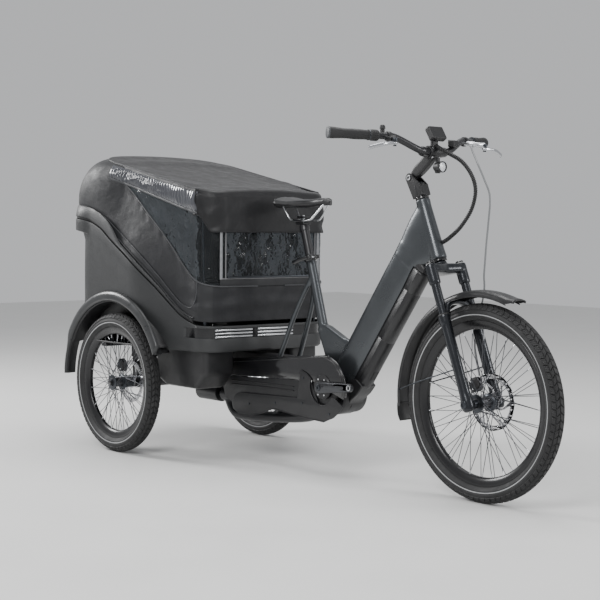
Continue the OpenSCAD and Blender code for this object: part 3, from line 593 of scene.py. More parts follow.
def tread_height(turn, phi, blocks):
    """Depth of the tread below its top at an angle round the wheel and across the casing."""
    if abs(phi) > TREAD_EDGE + 0.1:
        return 1.0
    rows = [0.0, 0.26, 0.30, 0.66, 0.71, TREAD_EDGE]
    band = abs(phi)
    across = min(abs(band - rows[2] + 0.02), abs(band - rows[4] + 0.025))
    gap = 1 - ease((across - 0.02) / 0.025)
    row = 0 if band < rows[1] else 1 if band < rows[3] else 2
    skew = (0.9, 1.4, 0.6)[row]
    phase = turn * blocks / (2 * math.pi) + 0.5 * row + skew * phi * (1 if row != 1 else -1)
    along = abs(phase % 1.0 - 0.5)
    slot = ease((along - 0.40) / 0.06)
    sipe = 0.45 * (1 - ease((abs(along - 0.17) - 0.015) / 0.03)) if row > 0 else 0.0
    edge = ease((band - TREAD_EDGE + 0.02) / 0.08)
    return min(1.0, max(gap, slot, sipe, edge))


def tyre(name, centre, radius, blocks, body, node):
    """A tyre with block tread, ribbed sidewalls and a reflective stripe on each side."""
    around = blocks * 12
    phis = [BEAD_ANGLE * k / 46 for k in range(-46, 47)]
    inner = [BEAD_ANGLE * (1 - 2 * k / 10) for k in range(11)]
    verts = []
    for i in range(around):
        turn = 2 * math.pi * i / around
        c, s = math.cos(turn), math.sin(turn)
        for phi in phis:
            size = CASING - TREAD * tread_height(turn, phi, blocks)
            rib = abs(abs(phi) - math.radians(112)) < 0.05 or abs(abs(phi) - math.radians(86)) < 0.04
            if abs(phi) > TREAD_EDGE + 0.1:
                size = CASING - (1.9 if rib else 2.8) * MM
            r = radius - CASING + size * math.cos(phi)
            verts.append(centre + Vector((r * c, size * math.sin(phi), r * s)))
        for phi in inner:
            r = radius - CASING + (CASING - 5 * MM) * math.cos(phi)
            verts.append(centre + Vector((r * c, (CASING - 5 * MM) * math.sin(phi), r * s)))
    cols = len(phis) + len(inner)
    piece = add_piece(name, verts, grid_faces(around, cols, True, True), [TYRE, STRIPE], body, 38)
    for k, face in enumerate(piece.data.polygons):
        j = k % cols
        if j < len(phis) - 1 and STRIPE_START < abs(phis[j] + BEAD_ANGLE / 92) < STRIPE_END:
            face.material_index = 1
    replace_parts(piece, node)
    return piece


def rim(name, centre, radius, body, node):
    edge = radius - BEAD
    half = [(edge + 3 * MM, RIM_HALF - 3 * MM), (edge + 3.4 * MM, RIM_HALF - 1 * MM),
            (edge + 2 * MM, RIM_HALF), (edge - 2 * MM, RIM_HALF - 0.4 * MM),
            (edge - 6 * MM, RIM_HALF - 0.8 * MM), (edge - 0.6 * RIM_DEPTH, RIM_HALF - 3.5 * MM),
            (edge - 0.85 * RIM_DEPTH, 9 * MM), (edge - RIM_DEPTH + 0.5 * MM, 5.5 * MM),
            (edge - RIM_DEPTH, 3 * MM)]
    well = [(edge - 8 * MM, -9 * MM), (edge - 8 * MM, 9 * MM)]
    profile = well + half + [(r, -y) for r, y in reversed(half)]
    piece = turned(name, profile, centre, (0, 1, 0), RIM, body, 120)
    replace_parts(piece, node)
    return piece


def spoke_ends(centre, radius, half, count, flange):
    """Both ends of each crossed spoke."""
    reach = radius - BEAD - RIM_DEPTH + 1 * MM
    out = []
    for i in range(count):
        side = 1 if i % 2 == 0 else -1
        lean = math.radians(58 if i % 4 < 2 else -58)
        turn = 2 * math.pi * i / count
        root = Vector((flange * math.cos(turn + lean), side * (half - 4 * MM),
                       flange * math.sin(turn + lean)))
        tip = Vector((reach * math.cos(turn), side * 3 * MM, reach * math.sin(turn)))
        out.append((centre + root, centre + tip))
    return out


def wheel(tag, centre, radius, half, body, outer_end, blocks):
    """Tyre, rim, spokes with bright nipples, valve and a turned hub shell."""
    parts = {"front": ("front_tyre", "front_rim", "front_hub")}.get(
        tag, (f"rear_tyre_{tag}", f"rear_rim_{tag}", f"rear_hub_{tag}"))
    tyre(f"tyre_{tag}", centre, radius, blocks, body, parts[0])
    rim(f"rim_{tag}", centre, radius, body, parts[1])
    ends = spoke_ends(centre, radius, half, 32, 25 * MM)
    rods(f"spokes_{tag}", ends, 1.1 * MM, HUB, body)
    nipples = [(tip, tip + (root - tip).normalized() * 13 * MM) for root, tip in ends]
    rods(f"nipples_{tag}", nipples, 1.9 * MM, ALLOY, body)
    shell = [(5 * MM, -half - outer_end), (13 * MM, -half - outer_end), (14 * MM, -half),
             (19 * MM, -half + 0.5 * MM), (28 * MM, -half + 2 * MM), (28.5 * MM, -half + 4 * MM),
             (27 * MM, -half + 6 * MM), (19 * MM, -half + 9 * MM), (16.5 * MM, -half + 14 * MM)]
    profile = shell + [(r, -y) for r, y in reversed(shell)]
    turned(f"hub_shell_{tag}", profile, centre, (0, 1, 0), HUB, body, 64)
    valve = centre + Vector((0, 0, radius - BEAD - RIM_DEPTH + 2 * MM))
    rods(f"valve_{tag}", [(valve, valve - UP * 32 * MM)], 2.6 * MM, ALLOY, body, 10)


def brake_disc(name, centre, radius, body, node, arms=6, sweep=40):
    """A steel rotor: waved braking ring with drilled holes, swept arms and a drilled carrier."""
    inner = radius - 17 * MM
    carrier = 27 * MM
    outline = []
    for k in range(288):
        a = 2 * math.pi * k / 288
        r = radius - 1.2 * MM * (1 - math.cos(arms * 2 * a)) / 2
        outline.append((r * math.cos(a), r * math.sin(a)))
    loops = [outline]
    for i in range(arms):
        start = 360 * i / arms
        width = 360 / arms
        outer = [(inner, start + 5 + (width - 10) * k / 10) for k in range(11)]
        back = [(lerp(inner, carrier, t / 8), start + width - 5 - sweep * ease(t / 8) + 4 * (t / 8))
                for t in range(1, 8)]
        base = [(carrier, start + width - 5 - sweep - 4 - (width - 22) * k / 4) for k in range(5)]
        front = [(lerp(carrier, inner, t / 8), start + 5 - sweep * ease(1 - t / 8) + 4 * (1 - t / 8))
                 for t in range(1, 8)]
        loops.append([(r * math.cos(math.radians(a)), r * math.sin(math.radians(a)))
                      for r, a in outer + back + base + front])
    for i in range(arms * 5):
        a = 360 * i / (arms * 5)
        r = radius - (6 + 5 * (i % 2)) * MM
        c = (r * math.cos(math.radians(a)), r * math.sin(math.radians(a)))
        loops.append(arc(c, 2.1 * MM, 360, 36, 9))
    for i in range(6):
        c = (20 * MM * math.cos(math.radians(60 * i + 10)), 20 * MM * math.sin(math.radians(60 * i + 10)))
        loops.append(arc(c, 2.2 * MM, 360, 36, 9))
    loops.append(arc((0, 0), 15.5 * MM, 360, 12, 29))
    piece = plate(name, loops, 2 * MM, side_plane(*centre), STEEL, body, 0.25 * MM)
    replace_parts(piece, node)
    return piece


def wheels():
    wheel("front", FRONT_HUB, FRONT_R, 32 * MM, "front_wheel", 18 * MM, 84)
    for tag, side in (("left", 1), ("right", -1)):
        centre = Vector((0, side * REAR_Y, REAR_R))
        body = f"rear_wheel_{tag}"
        wheel(tag, centre, REAR_R, 26 * MM, body, 4 * MM, 70)
        disc_at = Vector((0, middle(f"rear_disc_{tag}").y, REAR_R))
        brake_disc(f"rotor_{tag}", disc_at, 80 * MM, body, f"rear_disc_{tag}")
        shaft_end = side * 56 * MM
        half_shaft = [(4 * MM, 0), (15 * MM, 0), (15 * MM, 0.21), (17 * MM, 0.212), (22 * MM, 0.226),
                      (22 * MM, 0.262), (16 * MM, 0.266), (4 * MM, 0.266)]
        start = Vector((0, shaft_end, REAR_R))
        turned(f"half_shaft_{tag}", half_shaft, start, (0, side, 0), HUB, body, 48)
        cap = mm((0.5, 7), (5, 7), (9, 5), (10, 0), (0.5, 0))
        turned(f"axle_cap_{tag}", cap, centre + Vector((0, side * 29 * MM, 0)), (0, side, 0), GLOSS, body, 32)
    front_disc = Vector((FRONT_HUB.x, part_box("front_disc")[1].y - 1 * MM, FRONT_HUB.z))
    brake_disc("rotor_front", front_disc, 90 * MM, "front_wheel", "front_disc")
    carrier = mm((9, 0), (20, 0), (24, 8), (24, 10.2), (9, 10.2))
    turned("rotor_carrier_front", carrier, front_disc - Vector((0, 11 * MM, 0)), (0, 1, 0), HUB,
           "front_wheel", 48)
    pulley("axle_pulley", Vector((0, AXLE_BELT_Y, REAR_R)), 42 * MM, "rear_wheel_left", HUB, 36)


# --- drive ---------------------------------------------------------------------------------------

DRIVE_BELT_Y = middle("drive_belt").y
AXLE_BELT_Y = middle("axle_belt").y
BELT_HALF = 6 * MM


def pulley(name, centre, radius, body, material, teeth, spokes=5):
    """A toothed belt pulley with flanges and round openings."""
    outline = []
    for k in range(teeth * 6):
        a = 2 * math.pi * k / (teeth * 6)
        r = radius - (2.2 * MM if k % 6 in (0, 1, 2) else 0)
        outline.append((r * math.cos(a), r * math.sin(a)))
    hole = radius * 0.2
    loops = [outline] + [
        arc((radius * 0.58 * math.cos(2 * math.pi * i / spokes),
             radius * 0.58 * math.sin(2 * math.pi * i / spokes)),
            hole, 360, 15, 23) for i in range(spokes)]
    loops.append(arc((0, 0), radius * 0.24, 360, 15, 23))
    plate(name, loops, 2 * BELT_HALF - 1 * MM, side_plane(*centre), material, body, 0.4 * MM)


def belt(name, a, ra, b, rb, y, body, node):
    """A toothed belt round two pulleys, given by their centres (x, z) and radii."""
    a, b = Vector(a), Vector(b)
    d = b - a
    lean = math.acos((ra - rb) / d.length)
    base = math.atan2(d.y, d.x)
    pitch = 5 * MM

    def around(centre, radius, start, end):
        n = max(4, int(abs(end - start) * radius / (pitch / 4)))
        return [(centre, radius, start + (end - start) * k / n) for k in range(n + 1)]

    marks = around(a, ra, base + lean, base + 2 * math.pi - lean) + around(b, rb, base - lean, base + lean)
    points = [c + Vector((math.cos(t), math.sin(t))) * r for c, r, t in marks]
    path, normals = [], []
    for i, p in enumerate(points):
        q = points[(i + 1) % len(points)]
        n = max(1, int((q - p).length / (pitch / 4)))
        out = Vector(((q - p).y, -(q - p).x)).normalized()
        for k in range(n):
            path.append(p.lerp(q, k / n))
            normals.append(out)
    rings = []
    for i, p in enumerate(path):
        tooth = 1.0 if (i // 2) % 2 else 0.0
        n = normals[i] if (p + normals[i] - (a + b) / 2).length > (p - (a + b) / 2).length else -normals[i]
        low = p + n * (0.4 - 1.6 * tooth) * MM
        high = p + n * 4.2 * MM
        rings.append([Vector((q.x, y + s * BELT_HALF, q.y))
                      for q, s in ((low, -1), (high, -1), (high, 1), (low, 1))])
    piece = loft(name, rings, RUBBER, body, 30, True)
    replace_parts(piece, node)
    return piece


def motor_outline(grow):
    """Side outline of the drive unit, grown by a distance."""
    low = Vector((CRANK.x + 14 * MM, CRANK.z - 30 * MM))
    a, b = Vector((CRANK.x, CRANK.z)), low
    ra, rb = 58 * MM + grow, 63 * MM + grow
    d = b - a
    lean = math.acos((ra - rb) / d.length)
    base = math.atan2(d.y, d.x)
    first = [(a + Vector((math.cos(t), math.sin(t))) * ra)
             for t in steps(base + lean, base + 2 * math.pi - lean, 40)]
    second = [(b + Vector((math.cos(t), math.sin(t))) * rb) for t in steps(base - lean, base + lean, 40)]
    return first + second


def motor():
    """Drive unit: rounded case with a split line and bolts."""
    half = 56 * MM
    rings = []
    for y, grow in ((-1, -9), (-0.97, -5), (-0.9, -2), (-0.8, -0.4), (-0.3, 0), (-0.29, -1.5), (-0.26, -1.5),
                    (-0.25, 0), (0.3, 0), (0.8, -0.4), (0.9, -2), (0.97, -5), (1, -9)):
        rings.append([Vector((p.x, y * half, p.y)) for p in motor_outline(grow * MM)])
    case = loft("motor_case", rings, BLACK, "front_frame", 35)
    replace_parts(case, "motor")
    heads = [Vector((p.x, -half, p.y)) for p in motor_outline(-14 * MM)[::9]]
    rods("motor_bolts", [(p, p - Vector((0, 3 * MM, 0))) for p in heads], 4 * MM, HUB, "front_frame", 6)


def guard_points(inset):
    rear = [(GEAR_HUB.x - 44 * MM, GEAR_HUB.z + 20 * MM), (GEAR_HUB.x - 56 * MM, GEAR_HUB.z + 44 * MM),
            (GEAR_HUB.x - 46 * MM, GEAR_HUB.z + 66 * MM), (GEAR_HUB.x - 20 * MM, GEAR_HUB.z + 80 * MM)]
    round_crank = arc((CRANK.x, CRANK.z), 107 * MM, 97, -18, 30)
    tail = [(CRANK.x + 60 * MM, CRANK.z - 20 * MM), (CRANK.x, CRANK.z - 2 * MM),
            (CRANK.x - 60 * MM, CRANK.z + 18 * MM)]
    outline = [Vector(p) for p in rear + round_crank + tail]
    middle_point = Vector((CRANK.x - 120 * MM, CRANK.z + 40 * MM))
    return [p + (middle_point - p).normalized() * inset for p in outline]


def drive():
    motor()
    outline = guard_points(0)
    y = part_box("belt_guard")[0].y
    guard = plate("belt_guard_plate", [outline], 4 * MM, side_plane(0, y + 2 * MM, 0), GLOSS, "front_frame",
                  1.4 * MM)
    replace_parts(guard, "belt_guard")
    top = [Vector((u, y + 7 * MM, v)) for u, v in outline[1:34]]
    sheet("belt_guard_rim", [[p - Vector((0, 5 * MM, 0)) for p in top],
                             [p + Vector((0, 5 * MM, 0)) for p in top]], GLOSS, "front_frame", 2.4 * MM, 30)
    ridge = [Vector((u, y - 0.3 * MM, v)) for u, v in guard_points(9 * MM)[2:34]]
    tube("belt_guard_ridge", ridge[::3] + [ridge[-1]], 1.8 * MM, GLOSS, "front_frame", 10, 6)

    drive_covers()
    crank_arms()
    belts()


def by_crank(u, v):
    """A side-view point given in millimetres from the crank axle."""
    return (CRANK.x + u * MM, CRANK.z + v * MM)


def drive_covers():
    """Broad lower cover with its C round the crank, the panel behind it and the bridge under the tub."""
    cx, cz = CRANK.x, CRANK.z
    left_end = [(-420, -58), (-452, -62), (-480, -76), (-494, -98), (-488, -122), (-456, -138)]
    below = [(-382, -136), (-305, -118), (-257, -101), (-205, -103), (-148, -109), (-65, -114), (15, -117)]
    right_end = [(60, -99), (92, -74), (106, -56), (84, -43)]
    c_top = [(-79, 41), (-109, 51), (-114, 30), (-120, -8), (-127, -48)]
    outer = [by_crank(u, v) for u, v in c_top + [(-245, -52)] + left_end + below + right_end]
    inner = arc((cx, cz), 60 * MM, -26, -203, 44)
    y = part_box("drive_cover")[0].y
    cover = plate("chain_cover", [outer + inner], 5 * MM, side_plane(0, y + 2.5 * MM, 0), SATIN,
                  "front_frame", 1.6 * MM)
    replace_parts(cover, "drive_cover")
    lip = curve_points([Vector((u, y - 0.4 * MM, v)) for u, v in (by_crank(*p) for p in below)], 6)
    tube("chain_cover_lip", lip, 1.6 * MM, SATIN, "front_frame", 10, 0)
    spots = ((-96, 24), (-100, -64), (40, -88), (-245, -78), (-392, -96))
    bolts = [Vector((u, y, v)) for u, v in (by_crank(*p) for p in spots)]
    rods("cover_bolts", [(p, p - Vector((0, 1.6 * MM, 0))) for p in bolts], 4 * MM, HUB, "front_frame", 6)

    plate_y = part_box("belt_guard")[0].y + 2 * MM
    panel = [by_crank(u, v) for u, v in ((-64, 15), (-300, 5), (-545, -8), (-556, -40), (-540, -86),
                                         (-470, -110), (-300, -106), (-60, -100), (-20, -62))]
    plate("drive_panel", [panel], 4 * MM, side_plane(0, plate_y, 0), BLACK, "front_frame", 1.2 * MM)
    back = mm((14, 0), (66, 0), (66, 2), (14, 2))
    turned("crank_back_plate", back, Vector((cx, -79 * MM, cz)), (0, 1, 0), BLACK, "front_frame", 56)
    ribs = [[Vector((u, plate_y - 2.4 * MM, v))
             for u, v in (by_crank(-500, f), by_crank(-300, f + 6), by_crank(-150, f + 8))]
             for f in (-20, -34)]
    for k, rib in enumerate(ribs):
        tube(f"drive_panel_rib_{k}", rib, 2.2 * MM, BLACK, "front_frame", 10, 6)

    front = P(583, 0, 365)
    block("drive_bridge", Vector(((front.x + 0.262) / 2, 0, 362 * MM)),
          (front.x - 0.262 + 0.012, 48 * MM, 50 * MM), BLACK, "front_frame", 6 * MM)
    rods("bridge_bar", [(front + P(0, -46, 0), front + P(0, 46, 0))], 7 * MM, DARK_PAINT, "front_frame", 20)


def crank_arms():
    """Tapered crank arms with a pedal eye, the spindle and a bolted cap round it."""
    cx, cz = CRANK.x, CRANK.z
    for side in (-1, 1):
        turn = 1 if side < 0 else -1
        reach, rise = 150 * MM * turn, 12 * MM * turn
        along = Vector((reach, rise)).normalized()
        end = Vector((reach, rise))

        def arm(near, far, w0, w1):
            base = math.degrees(math.atan2(along.y, along.x))
            root = arc(along * near, w0, base + 90, base + 270, 16)
            tip = arc(along * far, w1, base - 90, base + 90, 16)
            return root + tip

        length = end.length
        mid_y = side * 101.5 * MM
        eye = arc(tuple(end), 7.1 * MM, 360, 15, 23)
        plate(f"crank_arm_{hand(side)}", [arm(0, length, 20 * MM, 13.5 * MM), eye], 12.6 * MM,
              side_plane(cx, mid_y, cz), CRANK_METAL, "cranks", 2.6 * MM)
        plate(f"crank_recess_{hand(side)}", [arm(34 * MM, length - 30 * MM, 8 * MM, 5.5 * MM)], 0.8 * MM,
              side_plane(cx, side * 107.7 * MM, cz), CRANK_METAL, "cranks", 0.3 * MM)
        bolt = mm((0.3, 0), (3.5, 0), (4.5, 3), (9, 3.2), (10.5, 2.4), (11, 0.5), (11, -4), (0.3, -4))
        turned(f"crank_bolt_{hand(side)}", bolt, Vector((cx, side * 107.2 * MM, cz)), (0, side, 0), HUB,
               "cranks", 32)
        eye_ring = mm((7.1, -5), (9.4, -5), (9.4, 0.4), (7.1, 0.6))
        turned(f"pedal_eye_{hand(side)}", eye_ring, Vector((cx + end.x, side * 107.9 * MM, cz + end.y)),
               (0, side, 0), ALLOY, "cranks", 32)
    spindle = [(0.5 * MM, -0.097), (12 * MM, -0.097), (12 * MM, -0.06), (11 * MM, -0.058), (11 * MM, 0.058),
               (12 * MM, 0.06), (12 * MM, 0.097), (0.5 * MM, 0.097)]
    turned("crank_spindle", spindle, CRANK, (0, 1, 0), HUB, "cranks", 40)
    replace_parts(bpy.data.objects["crank_arm_right"], "crankset")
    cap = mm((12.5, 0), (20, -5), (38, -4), (42, 0), (42, 5), (12.5, 5))
    turned("spindle_cap", cap, Vector((cx, -89 * MM, cz)), (0, 1, 0), BLACK, "cranks", 56)
    heads = [Vector((cx + 30 * MM * math.cos(a), -93 * MM, cz + 30 * MM * math.sin(a))) for a in full_turn(6)]
    rods("spindle_cap_bolts", [(p, p - Vector((0, 1.4 * MM, 0))) for p in heads], 3 * MM, ALLOY, "cranks", 6)


def belts():
    """Both toothed belts, their pulleys and the gear hub."""
    belt("drive_belt_toothed", (CRANK.x, CRANK.z), 56 * MM, (GEAR_HUB.x, GEAR_HUB.z), 32 * MM, DRIVE_BELT_Y,
         "front_frame", "drive_belt")
    rear = belt("axle_belt_toothed", (REAR_HUB.x, REAR_HUB.z), 42 * MM, (GEAR_HUB.x, GEAR_HUB.z), 30 * MM,
                AXLE_BELT_Y, None, "axle_belt")
    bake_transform(rear)
    pulley("crank_pulley", Vector((CRANK.x, DRIVE_BELT_Y, CRANK.z)), 56 * MM, "cranks", CRANK_METAL, 50)
    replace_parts(bpy.data.objects["crank_pulley"], "front_pulley")
    pulley("gear_pulley", Vector((GEAR_HUB.x, DRIVE_BELT_Y, GEAR_HUB.z)), 32 * MM, "hub_input", ALLOY, 28)
    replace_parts(bpy.data.objects["gear_pulley"], "hub_pulley")
    pulley("output_pulley", Vector((GEAR_HUB.x, AXLE_BELT_Y, GEAR_HUB.z)), 30 * MM, "hub_shell", ALLOY, 26)
    half = [(7 * MM, -58), (20 * MM, -58), (26 * MM, -55), (43 * MM, -51), (50 * MM, -49), (51 * MM, -47),
            (50.5 * MM, -45), (45 * MM, -43), (43.5 * MM, -38), (44 * MM, -20), (44.5 * MM, -18),
            (44 * MM, -16), (44 * MM, 0)]
    profile = [(r, h * MM) for r, h in half] + [(r, -h * MM) for r, h in reversed(half[:-1])]
    shell = turned("gear_hub_shell", profile, GEAR_HUB, (0, 1, 0), ALLOY, "hub_shell", 72)
    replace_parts(shell, "gear_hub")


# --- frame ---------------------------------------------------------------------------------------

SEAT_TOP = P(695, 0, 742)
SEAT_LOW = SEAT_TOP - SEAT_DIR * 259.4 * MM
HEAD_LEN = 206 * MM
DOWN_AT = P(1098, 0, 616)


def down(x, y, z):
    """A point in the down tube's frame, in millimetres: x up the tube, y left, z up and back."""
    return DOWN_AT + DOWN_UP * x * MM + Vector((0, y * MM, 0)) - DOWN_OUT * z * MM


def raw_loft(rings):
    """A closed mesh part of a piece that is merged later."""
    n = len(rings[0])
    verts = [p for ring in rings for p in ring]
    faces = grid_faces(len(rings), n, False, True)
    faces += [tuple(range(n)), tuple(range((len(rings) - 1) * n, len(rings) * n))]
    return verts, faces


def raw_tube(points, radius, sides=20, per_span=6):
    path = curve_points(points, per_span) if per_span else [Vector(p) for p in points]
    size = radius if callable(radius) else (lambda t: radius)
    return raw_loft(sweep_rings(path, lambda t: circle(size(t), sides)))


def melt(name, parts, voxel, smooth, material, body, cuts=(), adapt=0.0):
    """Overlapping closed parts merged into one skin with soft welds, then cut."""
    verts, faces = [], []
    for part_verts, part_faces in parts:
        start = len(verts)
        verts += part_verts
        faces += [tuple(start + i for i in f) for f in part_faces]
    piece = add_piece(name, verts, faces, material, None)
    remesh = piece.modifiers.new("merge", "REMESH")
    remesh.mode = "VOXEL"
    remesh.voxel_size = voxel
    remesh.adaptivity = adapt
    remesh.use_smooth_shade = True
    relax = piece.modifiers.new("soften", "SMOOTH")
    relax.factor = 0.5
    relax.iterations = smooth
    cutters = []
    for k, (cut_verts, cut_faces) in enumerate(cuts):
        cutter = add_piece(f"{name}_cutter_{k}", cut_verts, cut_faces, material, None)
        cut = piece.modifiers.new(f"cut_{k}", "BOOLEAN")
        cut.operation = "DIFFERENCE"
        cut.object = cutter
        cut.solver = "EXACT"
        cutters.append(cutter)
    apply_modifiers(piece)
    for cutter in cutters:
        bpy.data.objects.remove(cutter)
    for p in piece.data.polygons:
        p.use_smooth = True
    piece.data.set_sharp_from_angle(angle=math.radians(50))
    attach(piece, body)
    return piece


def apply_modifiers(piece):
    """Turns the modifiers of a piece into its own mesh."""
    bpy.context.view_layer.update()
    solved = piece.evaluated_get(bpy.context.evaluated_depsgraph_get())
    mesh = bpy.data.meshes.new_from_object(solved)
    piece.modifiers.clear()
    piece.data = mesh


def box_part(low, high, place=None):
    (x0, y0, z0), (x1, y1, z1) = low, high
    corners = [(x, y, z) for z in (z0, z1) for x, y in ((x0, y0), (x1, y0), (x1, y1), (x0, y1))]
    faces = [(0, 1, 2, 3), (4, 5, 6, 7), (0, 1, 5, 4), (1, 2, 6, 5), (2, 3, 7, 6), (3, 0, 4, 7)]
    return [place(*c) if place else P(*c) for c in corners], faces


def slab_part(outline, y0, y1):
    """A side-view outline in millimetres with thickness, as a part."""
    n = len(outline)
    verts = [P(x, y0, z) for x, z in outline] + [P(x, y1, z) for x, z in outline]
    faces = [tuple(range(n)), tuple(range(n, 2 * n))]
    return verts, faces + [(i, (i + 1) % n, n + (i + 1) % n, n + i) for i in range(n)]


def main_frame():
    """The welded frame in one skin, with its bay for the battery."""
    half_w, half_d = 35, 58
    tube_rings = []
    for x in steps(-352, 196, 28):
        grow = 1 + 0.05 * ease((x - 120) / 80)
        narrow = 1 - 0.10 * ease((x - 60) / 140)
        ring = super_ring(half_d * grow, half_w * narrow, 3.6, 40)
        tube_rings.append([down(x, y, z) for z, y in ring])
    # the tube's top swells into the head tube
    flare = []
    for t in steps(0, 1, 10):
        centre = down(150, 0, 0).lerp(steer(0, 0, HEAD_LEN * 0.5), t)
        up = (DOWN_OUT * -1).lerp(STEER_UP, ease(t)).normalized()
        d = lerp(half_d * 1.02, 101, ease(t)) * MM
        w = lerp(half_w * 0.97, 25, t) * MM
        flare.append([centre + up * a + Vector((0, b, 0)) for a, b in super_ring(d, w, 3.2, 40)])
    head = raw_loft([[steer(r * math.cos(a), r * math.sin(a), s) for a in full_turn(40)]
                     for r, s in ((26.5 * MM, 0), (27.5 * MM, 6 * MM), (26 * MM, 30 * MM),
                                  (24 * MM, 110 * MM), (22.5 * MM, 180 * MM), (23.5 * MM, 200 * MM),
                                  (22.5 * MM, HEAD_LEN))])
    stay = [(714, 11, 668), (664, 34, 554), (592, 46, 388), (555, 48, 292), (545, 48, 205)]
    parts = [
        raw_loft(tube_rings), raw_loft(flare), head,
        raw_tube([SEAT_LOW, SEAT_TOP], 17.5 * MM, 28, 0),
        raw_loft(sweep_rings([SEAT_LOW - SEAT_DIR * 4 * MM + Vector((-2 * MM, 0, 0)), P(905, 0, 446)],
                             lambda t: super_ring(17 * MM, 15 * MM, 2.4, 28))),
        slab_part([(752, 492), (768, 512), (800, 506), (884, 468), (912, 440), (896, 392), (868, 362),
                   (838, 352), (806, 368), (786, 420)], -15, 15),
        box_part((534, -12, 158), (556, 12, 206)),
        raw_tube([P(545, -79, 205), P(545, 79, 205)], 13 * MM, 20, 0),
        raw_tube([P(548, -50, 300), P(548, 50, 300)], 8 * MM, 16, 0),
        raw_tube([P(835, 0, 225), P(740, 0, 192), P(648, 0, 171), P(460, 0, 152), P(310, 0, 146),
                  P(268, 0, 160), P(236, 0, 205)], 20 * MM, 24),
        raw_tube([P(212, 0, 215), P(262, 0, 215)], 28 * MM, 32, 0),
    ]
    for side in (1, -1):
        parts.append(raw_tube([P(x, side * y, z) for x, y, z in stay], 9 * MM, 18))
    motor_cut = [Vector((p.x, 0, p.y)) for p in motor_outline(0.6 * MM)]
    n = len(motor_cut)
    ends = [tuple(range(n)), tuple(range(n, 2 * n))]
    walls = [(i, (i + 1) % n, n + (i + 1) % n, n + i) for i in range(n)]
    cutter = ([p + Vector((0, y * MM, 0)) for y in (-59, 59) for p in motor_cut], ends + walls)
    bay = box_part((-378, -28.5, -110), (166, 28.5, -27.5), down)
    piece = melt("frame_body", parts, 2.6 * MM, 10, FRAME_PAINT, "front_frame", [cutter, bay])
    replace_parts(piece, "main_frame")
    piece.data.materials.append(DARK_PAINT)
    for face in piece.data.polygons:
        if face.center.x < CRANK.x + 10 * MM and face.center.z < CRANK.z:
            face.material_index = 1


def frame_fittings():
    """Dropout plates with hub nuts, tilt shaft, gear hub axle, headset cups and cable ports."""
    for side in (1, -1):
        tag = hand(side)
        a, b = Vector((GEAR_HUB.x, GEAR_HUB.z)), Vector((545 * MM, 205 * MM))
        base = math.degrees(math.atan2((b - a).y, (b - a).x))
        outline = arc(tuple(a), 20 * MM, base + 90, base + 270, 20)
        outline += arc(tuple(b), 15 * MM, base - 90, base + 90, 16)
        window = arc(tuple(a.lerp(b, 0.36)), 7 * MM, base + 90, base + 270, 10) \
            + arc(tuple(a.lerp(b, 0.68)), 6 * MM, base - 90, base + 90, 10)
        plate(f"dropout_{tag}", [outline, window[::-1]], 5 * MM, side_plane(0, side * 76.5 * MM, 0),
              FRAME_PAINT, "front_frame", 1.2 * MM)
        nut = mm((0.3, 0), (9, 0), (9, 1.5), (7, 4), (0.3, 4))
        turned(f"hub_nut_{tag}", nut, Vector((GEAR_HUB.x, side * 79 * MM, GEAR_HUB.z)), (0, side, 0), ALLOY,
               "front_frame", 6, True, 20)
    shaft = mm((0.5, 60), (13, 60), (16, 63), (16, 212), (0.5, 212))
    turned("tilt_shaft", shaft, P(0, 0, 215), (1, 0, 0), DARK_PAINT, "front_frame", 40)
    axle = mm((0.5, -79), (6, -79), (6, 79), (0.5, 79))
    turned("gear_hub_axle", axle, GEAR_HUB, (0, 1, 0), HUB, "front_frame", 24)
    for name, s, r in (("headset_lower", -8 * MM, 25.5 * MM), ("headset_upper", HEAD_LEN, 22.5 * MM)):
        ring = [(15 * MM, 0.3 * MM), (r - 1.5 * MM, 0.3 * MM), (r, 2 * MM), (r, 4 * MM),
                (r - 0.8 * MM, 4.6 * MM), (r - 0.8 * MM, 5.4 * MM), (r, 6 * MM), (r - 0.4 * MM, 7.7 * MM),
                (15 * MM, 7.7 * MM)]
        turned(name, ring, steer(0, 0, s), STEER_UP, GLOSS, "front_frame", 48)
    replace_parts(bpy.data.objects["headset_upper"], "headset_cups")
    for k, place in enumerate((down(188, 24, -18), down(150, 30, -24), down(100, 33, -28))):
        block(f"cable_port_{k}", place, (16 * MM, 6 * MM, 9 * MM), RUBBER, "front_frame", 2.5 * MM,
              Matrix((DOWN_UP, (0, 1, 0), -DOWN_OUT)).transposed())


def tube_foot():
    """The smooth foot that carries the down tube and battery line round under the drive unit."""
    start, turn = down(-300, 0, -97), down(-338, 0, -93)
    heel = [Vector((u, 0, v)) for u, v in (by_crank(80, -44), by_crank(52, -80), by_crank(12, -98))]
    curve = curve_points([start, turn] + heel, 8)
    back = [Vector((u, 0, v)) for u, v in (by_crank(0, -70), by_crank(40, -10))]
    back += [down(-322, 0, -30), down(-300, 0, -60)]
    outline = [(p.x, p.z) for p in curve + back]
    slab("tube_foot", outline, -33 * MM, 33 * MM, SATIN, "front_frame", 9 * MM)


